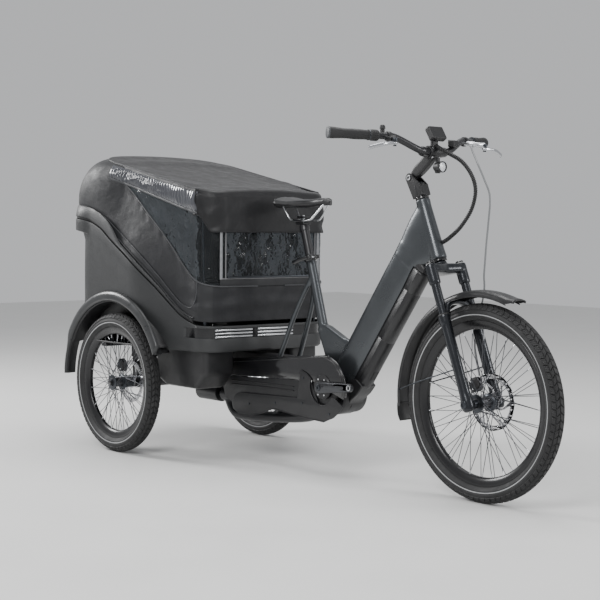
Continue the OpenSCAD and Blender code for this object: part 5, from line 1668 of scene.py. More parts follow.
def cockpit():
    stem()
    handlebar()
    twist_shifter()
    lever(1, "left_brake_lever", "brake_lever_left")
    lever(-1, "right_brake_lever", "brake_lever_right")
    brake_masters()
    display()
    bell()
    headlight()
    cable_bundle()
    brake_hose()


# --- tub -----------------------------------------------------------------------------------------

TUB_HALF = TUB_HIGH.y - 3 * MM
TUB_FRONT = TUB_HIGH.x
TUB_FRONT_HALF = 288 * MM
TUB_BOTTOM = TUB_LOW.z
TUB_REAR = TUB_LOW.x + 57 * MM
OVERHANG = 54 * MM
CORNER_R = 85 * MM
REAR_CORNER = 98 * MM
WELL_R = 307 * MM
WELL_Y = 302 * MM
BAND = 44 * MM
STEP_LOW, STEP_HIGH, STEP_END = 449 * MM, 485 * MM, 352 * MM


def soft_max(a, b, k):
    return (a + b + math.hypot(a - b, k)) / 2


def half_at(x):
    """Half width of the tub at x."""
    return lerp(TUB_HALF, TUB_FRONT_HALF, ease((x - 0.1) / 0.29))


RIM_LINE = [P(-262, 0, 875), P(-190, 0, 866), P(-93, 0, 835), P(-20, 0, 790), P(120, 0, 707), P(217, 0, 630),
            P(298, 0, 552), P(338, 0, 521), P(393, 0, 500), P(450, 0, 494), P(500, 0, 494)]


def along(line, x):
    """Height at x of a smooth curve through points that are ordered by x."""
    if x <= line[0].x:
        return line[0].z
    i = next((i for i in range(len(line) - 1) if x <= line[i + 1].x), len(line) - 2)
    a, b = line[i], line[i + 1]
    before, after = line[max(i - 1, 0)], line[min(i + 2, len(line) - 1)]
    t = min(1.0, (x - a.x) / (b.x - a.x))
    slope_a = (b.z - before.z) / (b.x - before.x) * (b.x - a.x)
    slope_b = (after.z - a.z) / (after.x - a.x) * (b.x - a.x)
    return a.z * (1 + 2 * t) * (1 - t) ** 2 + slope_a * t * (1 - t) ** 2 + b.z * t * t * (3 - 2 * t) \
        + slope_b * t * t * (t - 1)


def rim_z(x):
    """Upper edge of the tub at x: level at the rear, then sloping down to the front."""
    return along(RIM_LINE, x)


def even_path(points, step):
    """A polyline resampled at even steps."""
    out, left = [points[0].copy()], step
    for a, b in zip(points, points[1:]):
        length = (b - a).length
        pos = left
        while pos < length:
            out.append(a.lerp(b, pos / length))
            pos += step
        left = pos - length
    if (out[-1] - points[-1]).length > step * 0.3:
        out.append(points[-1].copy())
    return out


def right_half(inset, from_x=None):
    """Plan outline of the tub's right half from the rear middle (or from_x) to the front middle."""
    points = []
    if from_x is None:
        points += [Vector((TUB_REAR + inset, y)) for y in steps(0, -(TUB_HALF - REAR_CORNER), 12)]
        points += [Vector((TUB_REAR + REAR_CORNER - (REAR_CORNER - inset) * math.cos(a),
                           -(TUB_HALF - REAR_CORNER) - (REAR_CORNER - inset) * math.sin(a)))
                           for a in steps(0, math.pi / 2, 14)[1:]]
        from_x = TUB_REAR + REAR_CORNER
    last = TUB_FRONT - CORNER_R
    points += [Vector((x, -(half_at(x) - inset))) for x in steps(from_x, last, 60)]
    points += [Vector((last + (CORNER_R - inset) * math.sin(a),
                       -(TUB_FRONT_HALF - CORNER_R) - (CORNER_R - inset) * math.cos(a)))
               for a in steps(0, math.pi / 2, 20)[1:]]
    points += [Vector((TUB_FRONT - inset, y)) for y in steps(-(TUB_FRONT_HALF - CORNER_R), 0, 16)[1:]]
    return points


def full_outline(inset, step):
    half = even_path(right_half(inset), step)
    left = [Vector((p.x, -p.y)) for p in reversed(half)]
    return half + left[1:-1]


def outward(points, closed=True):
    """Unit normals of a plan outline, pointing away from its middle."""
    n = len(points)
    out = []
    for i in range(n):
        a = points[(i - 1) % n] if closed or i else points[0]
        b = points[(i + 1) % n] if closed or i < n - 1 else points[-1]
        d = (b - a).normalized()
        normal = Vector((d.y, -d.x))
        out.append(normal if normal.dot(points[i] - Vector((0.08, 0))) > 0 else -normal)
    return out


def arch_low(x, y):
    """Lowest height of the tub's wall: over the wheels it ends at the arch."""
    if abs(y) < WELL_Y or abs(x) > WELL_R:
        return TUB_BOTTOM
    return max(TUB_BOTTOM, REAR_R + math.sqrt(WELL_R ** 2 - x * x))


def tub_wall():
    """The moulded wall: arch openings, sloping rim band with its groove, rear flange and flared foot."""
    plan = full_outline(0, 7 * MM)
    normals = outward(plan)
    low_rows = [0.400, 0.4005, 0.406, 0.420, 0.436, STEP_LOW - 0.003, STEP_LOW - 0.0004, STEP_LOW,
                STEP_LOW + 0.0004, 0.467, STEP_HIGH - 0.0004, STEP_HIGH, STEP_HIGH + 0.0004,
                STEP_HIGH + 0.003]
    band_rows = [-0.006, -0.0045, -0.004, -0.0035, -0.0005, 0.0, 0.0008, 0.003, 0.012, 0.026]
    rows = []
    for p, n in zip(plan, normals):
        top = max(rim_z(p.x), 0.494)
        low = arch_low(p.x, p.y)
        rear = ease((-0.13 - p.x) / 0.09)
        fade = max(0.0, -n.x) ** 0.4 * rear
        front = ease((p.x - STEP_END) / (3 * MM))
        column = []
        band_at = top - BAND
        zs = [max(z, low) for z in low_rows]
        start = max(low_rows[-1], low)
        middle_zs = [lerp(start, max(start, band_at - 0.008), t / 12)
                     for t in range(1, 13)] if fade > 0 else \
            [lerp(start, top - 0.004, t / 22) for t in range(1, 13)]
        zs += middle_zs
        for z in band_rows:
            zs.append(band_at + z if fade > 0 and band_at + z > zs[-1] else lerp(zs[-1], top - 0.003, 0.12))
        zs += [top - 0.004, top - 0.0015, top]
        for z in zs:
            out = 0.0
            in_step = front * (STEP_LOW <= z <= STEP_HIGH)
            out -= 7 * MM * in_step
            above = z - band_at
            out -= 3.5 * MM * (1 - math.sqrt(max(0.0, 1 - max(0.0, 1 - (top - z) / (4 * MM)) ** 2)))
            out -= 5 * MM * (1 - ease((z - TUB_BOTTOM) / (6 * MM)))
            turned_back = max(0.0, -n.x)
            flare = 58 * MM * turned_back ** 0.5 * rear * ease((0.552 - z) / 0.09)
            ledge = OVERHANG * turned_back ** 0.9 * rear * ease((above + 0.012) / 0.013)
            swell = 2.0 * MM * math.sin(math.pi * min(1, max(0, (z - low) / max(0.05, band_at - low))))
            place = p + n * (out + flare + ledge + swell * (1 - in_step))
            y = math.copysign(min(abs(place.y), 384 * MM), place.y)
            column.append(Vector((place.x, y, z)))
        rows.append(column)
    cols = len(rows[0])
    verts = [p for row in rows for p in row]
    piece = add_piece("tub_wall", verts, grid_faces(len(rows), cols, True), [TUB, GLOSS, BLACK], None, 34)
    for face in piece.data.polygons:
        centre = face.center
        if centre.x > STEP_END and STEP_LOW - 0.0001 < centre.z < STEP_HIGH + 0.0001:
            face.material_index = 1
    finish_shell(piece, 6 * MM)
    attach(piece, "rear_module")
    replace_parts(piece, "tub")


def finish_shell(piece, thick):
    """Welds a sheet's collapsed corners and gives it thickness inwards."""
    fix = bmesh.new()
    fix.from_mesh(piece.data)
    bmesh.ops.remove_doubles(fix, verts=fix.verts, dist=0.02 * MM)
    bmesh.ops.recalc_face_normals(fix, faces=fix.faces)
    fix.to_mesh(piece.data)
    fix.free()
    for p in piece.data.polygons:
        p.use_smooth = True
    piece.data.set_sharp_from_angle(angle=math.radians(34))
    solid = piece.modifiers.new("thickness", "SOLIDIFY")
    solid.thickness = thick
    solid.offset = -1


def tub_inside():
    """Floor, wheel wells and inner rim of the tub."""
    outline = full_outline(7 * MM, 16 * MM)
    n = len(outline)
    rings = [[Vector((p.x * k + 0.1 * (1 - k), p.y * k, z)) for p in outline] for z, k in
             ((0.4125, 1.0), (0.409, 0.985), (0.408, 0.9), (0.408, 0.5), (0.408, 0.02))]
    verts = [p for ring in rings for p in ring]
    floor = add_piece("tub_floor", verts, grid_faces(len(rings), n, False, True), BLACK, "rear_module")
    floor.modifiers.new("thickness", "SOLIDIFY").thickness = 4 * MM
    for side in (-1, 1):
        tag = hand(side)
        rows = []
        for a in steps(27, 153, 60):
            t = math.radians(a)
            out = Vector((math.cos(t), 0, math.sin(t)))
            base = Vector((0, 0, REAR_R))
            ring = [(WELL_R + 8 * MM, side * 362 * MM), (WELL_R + 8 * MM, side * (WELL_Y + 6 * MM)),
                    (WELL_R + 5 * MM, side * (WELL_Y - 4 * MM)), (WELL_R - 6 * MM, side * (WELL_Y - 8 * MM)),
                    (140 * MM, side * (WELL_Y - 8 * MM))]
            row = []
            for r, y in ring:
                q = base + out * r + Vector((0, y, 0))
                q.z = max(q.z, 0.41)
                row.append(q)
            rows.append(row)
        sheet(f"wheel_well_{tag}", rows, BLACK, "rear_module", 3 * MM)


def arches():
    """Broad satin lip round each wheel opening with a black liner behind."""
    for side in (-1, 1):
        tag = hand(side)
        base = Vector((0, 0, REAR_R))
        rings = []
        for a in steps(24, 178, 110):
            t = math.radians(a)
            out = Vector((math.cos(t), 0, math.sin(t)))
            end = min(1.0, min(a - 24, 178 - a) / 4 + 0.25)
            tall = lerp(34, 12, ease((a - 148) / 14)) * end
            # rounded lip: out over the wall, then rolled back under
            section = [(-1.5, 340), (-1.5, 372), (-0.6, 380), (2.5, 384), (6.5, 385), (tall * 0.55 + 3, 384),
                       (tall - 2, 380.5), (tall + 0.6, 376), (tall + 1, 370.5), (tall - 1, 369.4),
                       (tall * 0.5, 372.5), (4.5, 372.5), (2, 368), (1.5, 340)]
            rings.append([base + out * (WELL_R + r * MM) + Vector((0, side * y * MM, 0)) for r, y in section])
        lip = loft(f"arch_lip_{tag}", rings, TUB_SATIN, "rear_module", 50)
        soften(lip, 0.8 * MM, 2, 60)
        rows = []
        for a in steps(25, 178, 70):
            t = math.radians(a)
            out = Vector((math.cos(t), 0, math.sin(t)))
            inner = 362 if a > 152 else WELL_Y / MM + 2
            rows.append([base + out * (WELL_R - 3 * MM) + Vector((0, side * y * MM, 0)) for y in
                         steps(inner, 376, 6)])
        sheet(f"arch_liner_{tag}", rows, BLACK, "rear_module", 3 * MM)
    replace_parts(bpy.data.objects["arch_lip_right"], "wheel_arches")


def step():
    """Three rounded alloy slats in each of two groups, with end blocks, in the recessed band."""
    low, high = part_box("step_slats")
    groups = ((low.y, -82 * MM), (-57 * MM, high.y))
    first = None
    for g, (y0, y1) in enumerate(groups):
        for row in range(3):
            z = low.z + (3.5 + 12 * row) * MM
            x = high.x - 4 * MM
            rings = [[Vector((x + a * k, y, z + b * k)) for a, b in super_ring(4 * MM, 3.6 * MM, 3.2, 20)]
                     for y, k in ((y0, 0.6), (y0 + 0.8 * MM, 0.92), (y0 + 2 * MM, 1), (y1 - 2 * MM, 1),
                                  (y1 - 0.8 * MM, 0.92), (y1, 0.6))]
            bar = loft(f"slat_{g}_{row}", rings, ALLOY, "rear_module", 50)
            first = first or bar
        for k, y in enumerate((y0 + 14 * MM, y1 - 14 * MM)):
            block(f"slat_post_{g}_{k}", Vector((high.x - 6.5 * MM, y, (low.z + high.z) / 2)),
                  (3.4 * MM, 9 * MM, 33 * MM), BLACK, "rear_module", 1 * MM)
    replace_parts(first, "step_slats")


def belly():
    """Smooth black housings below the floor, tail lights, rear brakes and the steel chassis."""
    for side in (-1, 1):
        tag = hand(side)
        rings = []
        for y, shrink in ((131, 22), (133, 12), (138, 5), (148, 0), (248, 0), (258, 5), (263, 12), (265, 22)):
            outline = []
            for centre, start, end, n in (((160, 310), 180, 246, 8), ((200, 292), 246, 270, 4),
                                          ((370, 292), 270, 305, 6), ((410, 330), 305, 360, 8)):
                outline += arc(centre, 30 - shrink * 0.8, start, end, n)
            outline += [(440 - shrink, 399), (130 + shrink, 399)]
            rings.append([P(u, side * y, v) for u, v in outline])
        shell = loft(f"belly_{tag}", rings, SATIN, "rear_module", 40)
        soften(shell, 2 * MM, 2, 50)
        at = Vector((-57 * MM, side * middle("rear_disc_left").y, REAR_R + 57 * MM))
        turn = Matrix.Rotation(math.radians(-45), 3, "Y")
        caliper(f"caliper_{tag}", at, turn, "rear_module")
        lamp = Vector((TUB_REAR - 5 * MM, side * 280 * MM, 713 * MM))
        block(f"tail_lens_{tag}", lamp - P(3, 0, 0), (6 * MM, 56 * MM, 22 * MM), RED, "rear_module", 2.5 * MM)
        block(f"tail_bezel_{tag}", lamp + P(1, 0, 0), (7 * MM, 64 * MM, 30 * MM), BLACK, "rear_module",
              3 * MM)
    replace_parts(bpy.data.objects["belly_left"], "underbody")
    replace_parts(bpy.data.objects["caliper_left_body"], "rear_calipers")
    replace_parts(bpy.data.objects["tail_lens_left"], "tail_lights")
    repaint("chassis_frame", DARK_PAINT)
    # tilt lock: boss on the cross tube with a bent foot lever and a ribbed pad
    at = Vector(joint("tilt_lock_press")["pos_m"])
    boss = mm((8.1, -11), (13, -11), (14, -9.5), (14, 9.5), (13, 11), (8.1, 11))
    turned("tilt_lock_boss", boss, at, (0, 1, 0), CRANK_METAL, "tilt_lock", 40)
    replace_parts(bpy.data.objects["tilt_lock_boss"], "tilt_lock_lever")
    path = curve_points([at + P(8, 0, 6), at + P(24, 0, 17), at + P(40, 0, 18), at + P(50, 0, 14)], 6)
    loft("tilt_lock_arm", sweep_rings(path, lambda t: super_ring(5.2 * MM, lerp(6.5, 4.6, t) * MM, 3, 20),
                                      Vector((0, 0, 1))), CRANK_METAL, "tilt_lock")
    pad = []
    for k in range(43):
        r = (6.6 if k % 3 else 5.6) * (0.75 if k in (0, 42) else 1)
        pad.append((r * MM, (k - 21) * MM))
    turned("tilt_lock_pad", [(0.4 * MM, -21 * MM)] + pad + [(0.4 * MM, 21 * MM)], at + P(50, 0, 14),
           (0, 1, 0), RUBBER, "tilt_lock", 28)


# --- canopy --------------------------------------------------------------------------------------

SHELL_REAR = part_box("rear_shell")[0].x - 20 * MM
CREST_X = -216 * MM
ROOF_TOP = 1107 * MM
ROOF_LOW = 964 * MM
ROOF_HALF = 290 * MM
ROOF_SLOPE = 0.2135
BASE_CORNER, CREST_CORNER = 135 * MM, 100 * MM
SIDE_START = -20 * MM
FLAP_LOW = 827 * MM
FLAP_SIDE = 60 * MM
WINDOW_LOW = 661 * MM
SILL = 28 * MM
ZIP_Y = 226 * MM
WINDOW_LINE = [P(-30, 0, 1014), P(-8, 0, 999), P(60, 0, 952), P(140, 0, 893), P(217, 0, 833), P(285, 0, 770),
               P(340, 0, 712), P(380, 0, 674), P(410, 0, 654), P(440, 0, 642), P(478, 0, 633)]


def roof_z(x):
    return soft_max(ROOF_LOW, ROOF_TOP - ROOF_SLOPE * (x - CREST_X), 12 * MM)


def corner(radius, past):
    return radius - math.sqrt(max(0.0, radius ** 2 - max(0.0, past) ** 2))


def base_half(x):
    return half_at(x) - lerp(12, 1, ease((x - 0.1) / 0.29)) * MM - corner(CORNER_R, x - TUB_FRONT + CORNER_R)


def top_half(x):
    return min(ROOF_HALF, base_half(x) - 1 * MM)


def inward(x, v):
    """How far the canopy has come in from its base: domed at the rear, leaning in front."""
    up = max(0.0, (v - 0.3) / 0.7)
    dome = 1 - math.sqrt(max(0.0, 1 - up * up))
    return lerp(dome, 1 - (1 - v) ** 1.6, ease((x + 0.2) / 0.25))


def side_at(x, z, side, out=0.0):
    """A point on the canopy's side at x and height z, moved outwards by a distance."""
    v = min(1.0, max(0.0, (z - rim_z(x)) / (roof_z(x) - rim_z(x))))
    return Vector((x, side * (lerp(base_half(x), top_half(x), inward(x, v)) + out), z))


def window_z(x):
    """Height of the window piping at x."""
    return along(WINDOW_LINE, x)


def crease(x, y, z, size, scale=7.0, seed=0.0):
    """Soft cloth unevenness of about plus or minus size."""
    return size * (0.7 * ripple((x, y, z), scale, seed) + 0.3 * ripple((x, y, z), scale * 2.7, seed + 5))


def half_plan(level):
    """Right half of the canopy's plan, from rear to front, at its base (0) or at the roof's edge (1)."""
    rear, radius = ((SHELL_REAR, BASE_CORNER), (CREST_X, CREST_CORNER))[level]
    half = base_half if level == 0 else top_half
    start = rear + radius
    inner = half(start) - radius
    points = [Vector((rear, y)) for y in steps(0, -inner, 12)]
    points += [Vector((start - radius * math.cos(a), -inner - radius * math.sin(a)))
               for a in steps(0, math.pi / 2, 20)[1:]]
    points += [Vector((x, -half(x))) for x in steps(start, SIDE_START, 18)[1:]]
    points += [Vector((x, -half(x))) for x in steps(SIDE_START, TUB_FRONT - CORNER_R, 70)[1:]]
    front = [p for p in right_half(0.8 * MM, TUB_FRONT - CORNER_R) if p.x > TUB_FRONT - CORNER_R + 1 * MM]
    return points + front


def canopy_plan(level):
    right = half_plan(level)
    return right + [Vector((p.x, -p.y)) for p in reversed(right[1:-1])]


def top_of_skin(x):
    """Upper edge of the cloth skin: the roof at the rear, the window piping at the sides and front."""
    share = ease((x + 0.034) / 0.022)
    return lerp(roof_z(x) - 1 * MM, min(roof_z(x) - 1 * MM, window_z(x)), share)


def seam_low(x):
    """The welted seam that runs above the rim, and rises round the panel's front corner."""
    return rim_z(x) + 46 * MM


def skin():
    """The canopy's cloth: one sheet from the domed rear along both sides to the front panel."""
    base, crest = canopy_plan(0), canopy_plan(1)
    normals = outward(base)
    count = 40
    rows = []
    for p, q, n in zip(base, crest, normals):
        front = ease((p.x - 0.30) / 0.12)
        low = rim_z(p.x) + lerp(1, 14, front) * MM
        row = []
        top = top_of_skin(p.x)
        for _ in range(4):
            v = min(1.0, max(0.0, (top - rim_z(p.x)) / (roof_z(q.x) - rim_z(p.x))))
            top = top_of_skin(lerp(p.x, q.x, inward(p.x, v)))
        for step in steps(0, 1, count):
            z = lerp(low, top, step)
            v = min(1.0, max(0.0, (z - rim_z(p.x)) / (roof_z(q.x) - rim_z(p.x))))
            place = p.lerp(q, inward(p.x, v))
            puff = math.sin(math.pi * step)
            size = lerp(lerp(1.6, 3.0, ease((p.x + 0.1) / 0.2)), 2.0, front)
            out = crease(p.x, place.y, z, size * MM, 9, 3) * puff + 1.5 * MM * puff
            out += front * 2.4 * MM * math.sin(z * 92 + 2.4 * ripple((p.x, p.y, z), 5, 2)) * puff
            pulls = math.exp(-((top - z) / 0.03) ** 2) * (1 - front) * ease((p.x + 0.03) / 0.05)
            out += 1.5 * MM * pulls * math.sin(p.x * 150 + z * 40 + 3 * ripple((p.x, 0, z), 12, 8))
            out -= 2.0 * MM * math.exp(-((z - seam_low(p.x)) / (5 * MM)) ** 2) * (1 - front)
            row.append(Vector((place.x + n.x * out, place.y + n.y * out, z)))
        rows.append(row)
    verts = [p for row in rows for p in row]
    cloth = add_piece("canopy_skin", verts, grid_faces(len(rows), count + 1, True), [SHELL_FABRIC, PANEL],
                      "rear_module", 60)
    for face in cloth.data.polygons:
        c = face.center
        inner = c.z > seam_low(c.x) and -0.13 < c.x < 0.417 and c.z < window_z(c.x) + 4 * MM
        if inner or c.x > 0.465:
            face.material_index = 1
    solid = cloth.modifiers.new("thickness", "SOLIDIFY")
    solid.thickness = 2.4 * MM
    solid.offset = -1
    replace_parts(cloth, "rear_shell", "canopy_sides")


def roof_plan_half(x):
    """Half width of the roof cloth: rounded off at its rear corners, where it meets the dome."""
    return top_half(x) - corner(CREST_CORNER, CREST_X + CREST_CORNER - x)


def outline_front(inset, count, from_x):
    """Even points on the front outline, right side to left side, starting at from_x."""
    half = right_half(inset, from_x)
    whole = half + [Vector((p.x, -p.y)) for p in reversed(half[:-1])]
    total = sum((b - a).length for a, b in zip(whole, whole[1:]))
    path = even_path(whole, total / count)
    while len(path) > count + 1:
        path.pop()
    while len(path) < count + 1:
        path.append(whole[-1].copy())
    path[-1] = whole[-1].copy()
    return path


def roof():
    """Roof cloth over the two hoops, drawn down over the front as a flap."""
    count = 120
    brow = outline_front(16 * MM, count, 412 * MM)
    face = outline_front(0.6 * MM, count, 412 * MM)
    rows = []
    for i in range(90):
        s = i / 89
        row = []
        for k in range(count + 1):
            t = 2 * k / count - 1
            end = brow[k]
            x = lerp(CREST_X, end.x, s)
            half = roof_plan_half(x)
            blend = ease((s - 0.72) / 0.28)
            limit = top_half(x)
            y = lerp(half * t, math.copysign(min(abs(end.y), limit), end.y), blend)
            share = min(1.0, abs(y) / max(0.05, limit))
            crown = 12 * MM * (1 - share ** 2)
            fade = ease((x + 0.2) / 0.1)
            rear_hoop = math.exp(-((x + 0.096) / 0.05) ** 2)
            front_hoop = 0.8 * math.exp(-((x - 0.424) / 0.04) ** 2)
            hoops = 5 * MM * (rear_hoop + front_hoop) - 4 * MM
            sag = -5 * MM * math.sin(math.pi * min(1, max(0, (x + 0.096) / 0.52))) * (1 - share ** 3)
            fold = crease(x * 0.35, y, 0, 5 * MM, 12, 1) * (0.35 + 0.65 * share ** 2)
            diagonal = 4.2 * MM * math.sin((x * 26 + abs(y) * 30) + 2 * ripple((x, y, 0), 6)) * share ** 2 \
                * math.exp(-((x - 0.33) / 0.16) ** 2)
            z = roof_z(x) + crown + ((hoops + sag) * (1 - share ** 6) + fold + diagonal) * fade + 1.2 * MM
            row.append(Vector((x, y, min(z, ROOF_TOP + 14 * MM))))
        rows.append(row)
    last = rows[-1]
    drop = 17 * MM
    for a in steps(12, 90, 6):
        t = math.radians(a)
        row = []
        for k in range(count + 1):
            p = brow[k].lerp(face[k], math.sin(t))
            row.append(Vector((p.x, p.y, last[k].z - drop * (1 - math.cos(t)))))
        rows.append(row)
    top_row = rows[-1]
    normals = outward(face, False)
    for i in range(1, 31):
        s = i / 30
        row = []
        for k in range(count + 1):
            y = face[k].y
            lower = FLAP_LOW + FLAP_SIDE * ease((abs(y) - 0.252) / 0.034) ** 1.6
            z = lerp(top_row[k].z, lower, s)
            fold = crease(face[k].x, y, z * 0.5, 5 * MM, 11, 2) * (0.3 + s)
            corner_share = ease((abs(y) - 0.16) / 0.1)
            rays = 4.5 * MM * math.sin(z * 70 + abs(y) * 55 + 2 * ripple((0, y, z), 7)) * s * corner_share
            drape = 3.5 * MM * math.sin(y * 30 + 3 * ripple((0, y, z), 7)) * s
            belly_out = 5 * MM * math.sin(math.pi * min(1, s * 1.1)) * corner_share
            out = min(9 * MM, max(-1 * MM, 2.5 * MM + fold + drape * 0.6 + rays + belly_out))
            p = face[k] + normals[k] * out
            row.append(Vector((p.x, p.y, z)))
        rows.append(row)
    cloth = sheet("roof_cloth", rows, CANOPY, "rear_module", 2.4 * MM)
    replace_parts(cloth, "canopy_roof", "canopy_front")
    hem = [p + Vector((0.8 * MM, 0, 0)) for p in rows[-1]]
    tube("flap_hem", hem[::3], 2.2 * MM, CANOPY, "rear_module", 10, 3)
    for side in (-1, 1):
        tag = hand(side)
        seam, rows = [], []
        edge = [Vector((x, roof_plan_half(x))) for x in steps(CREST_X + 12 * MM, 412 * MM, 110)]
        for p in edge:
            z = roof_z(p.x)
            wave = crease(p.x, 0, 0, 2.0 * MM, 20, side)
            tall = lerp(6, 17, ease((p.x + 0.19) / 0.1)) * MM
            rows.append([Vector((p.x, side * (p.y + out * MM + wave * down_by),
                                 z + 1 * MM - down_by * (tall + wave)))
                                 for out, down_by in ((-2, -0.12), (1.8, 0.08), (3.4, 0.4), (4.4, 0.75),
                                                      (4.6, 1.0))])
            seam.append(Vector((p.x, side * (p.y + 1 * MM), z + 2 * MM)))
        sheet(f"roof_valance_{tag}", rows, CANOPY, "rear_module", 2 * MM)
        tube(f"roof_seam_{tag}", seam[::5] + [seam[-1]], 2.0 * MM, PIPING, "rear_module", 8, 4)


def panel_seams():
    """Window piping, the welted seams above the rim and the panel's stitching."""
    for side in (-1, 1):
        tag = hand(side)
        front = [p for p in half_plan(0) if p.x > TUB_FRONT - CORNER_R + 1 * MM and abs(p.y) > 30 * MM]
        piping = [side_at(x, window_z(x), side, 2.4 * MM) for x in steps(-20 * MM, 388 * MM, 36)]
        piping += [Vector((p.x + 2.2 * MM, -side * p.y, window_z(p.x))) for p in front[::3]]
        tube(f"window_piping_{tag}", piping, 2.8 * MM, PIPING, "rear_module", 10, 3)
        stitch = []
        for x in steps(0, 0.40, 74):
            z = window_z(x) - 11 * MM
            stitch.append((side_at(x, z, side, 2.0 * MM), side_at(x + 3 * MM, z - 2 * MM, side, 2.0 * MM)))
        rods(f"panel_stitches_{tag}", stitch, 0.5 * MM, STITCH_AND_HIGHLIGHT, "rear_module", 6)
        # inner seam: parallel to the rim, then up round the panel's front corner to the window's piping
        turn = [side_at(0.355, seam_low(0.355) + 2 * MM, side, 1.6 * MM),
                side_at(0.385, seam_low(0.385) + 10 * MM, side, 1.6 * MM),
                side_at(0.405, seam_low(0.405) + 34 * MM, side, 1.6 * MM),
                side_at(0.413, 0.60, side, 1.6 * MM), side_at(0.416, 0.648, side, 1.6 * MM)]
        inner = [side_at(x, seam_low(x), side, 1.6 * MM) for x in steps(-110 * MM, 330 * MM, 40)] + turn
        tube(f"panel_welt_{tag}", inner, 1.7 * MM, PIPING, "rear_module", 8, 3)
        outer = [side_at(x, rim_z(x) + 22 * MM, side, 2.6 * MM) for x in steps(10 * MM, 400 * MM, 44)]
        tube(f"rim_welt_{tag}", outer, 3.0 * MM, SHELL_FABRIC, "rear_module", 10, 3)


def side_windows():
    """Clear foil from the piping up to the roof's edge and round to the front window's zip."""
    for side in (-1, 1):
        tag = hand(side)
        front = [p for p in half_plan(0) if p.x > TUB_FRONT - CORNER_R + 1 * MM and abs(p.y) > ZIP_Y]
        rows = []
        for x in steps(-26 * MM, 390 * MM, 100):
            low, high = window_z(x) - 2 * MM, roof_z(x) - 14 * MM
            rows.append([side_at(x, lerp(low, high, v), side,
                                 -1 * MM + crease(x, lerp(low, high, v), 0, 3.4 * MM, 11,
                                                  11) * math.sin(math.pi * v)) for v in steps(0, 1, 44)])
        for p in front:
            low, high = window_z(p.x) - 2 * MM, roof_z(p.x) - 26 * MM
            row = []
            for v in steps(0, 1, 44):
                z = lerp(low, high, v)
                out = crease(p.x, z, p.y, 3.4 * MM, 14, 12) * math.sin(math.pi * v) - 2.5 * MM
                row.append(Vector((p.x + out, -side * p.y, z)))
            rows.append(row)
        glass = sheet(f"side_foil_{tag}", rows, FOIL, "rear_module", 0.6 * MM)
        if side < 0:
            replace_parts(glass, "side_windows")
        curtain(side, tag)


def curtain(side, tag):
    """The side curtain, gathered up under the roof's edge, with its straight hem."""
    rows, hem = [], []
    for i in range(420):
        s = i / 419
        x = lerp(-92 * MM, 418 * MM, s)
        top = roof_z(x) - 7 * MM
        depth = lerp(50, 76, s) * MM
        thin = ease(s / 0.04) * ease((1 - s) / 0.03)
        gather = lerp(1.0, 0.25, ease((s - 0.45) / 0.35)) * thin
        row = []
        for j in range(19):
            v = j / 18
            z = top - depth * v
            roll = math.sin(math.pi * min(1, v * 1.08)) ** 0.7
            phase = x * 430 + 2.6 * ripple((x, z, 0), 20, 4) + 1.6 * math.sin(v * 5 + x * 60)
            pleat = math.sin(phase) * gather * (0.35 + 0.65 * math.sin(math.pi * v))
            broad = ripple((x, z, 0), 17, side) * (1.4 - gather)
            broad += 0.6 * ripple((x, z, 0), 60, side + 2) * gather
            out = (3 + 8 * roll * thin + 3.2 * pleat + 5 * broad * math.sin(math.pi * v)) * MM
            row.append(side_at(x, z, side, min(16 * MM, max(2 * MM, out))))
        rows.append(row)
        hem.append(row[-1] + Vector((0, side * 1.5 * MM, 0)))
    sheet(f"curtain_{tag}", rows, CRINKLE, "rear_module", 0.8 * MM, 80)
    path = curve_points(hem[::20] + [hem[-1]], 4)
    loft(f"curtain_hem_{tag}", sweep_rings(path, lambda t: super_ring(4.2 * MM, 2.0 * MM, 3, 14), UP), PIPING,
         "rear_module")


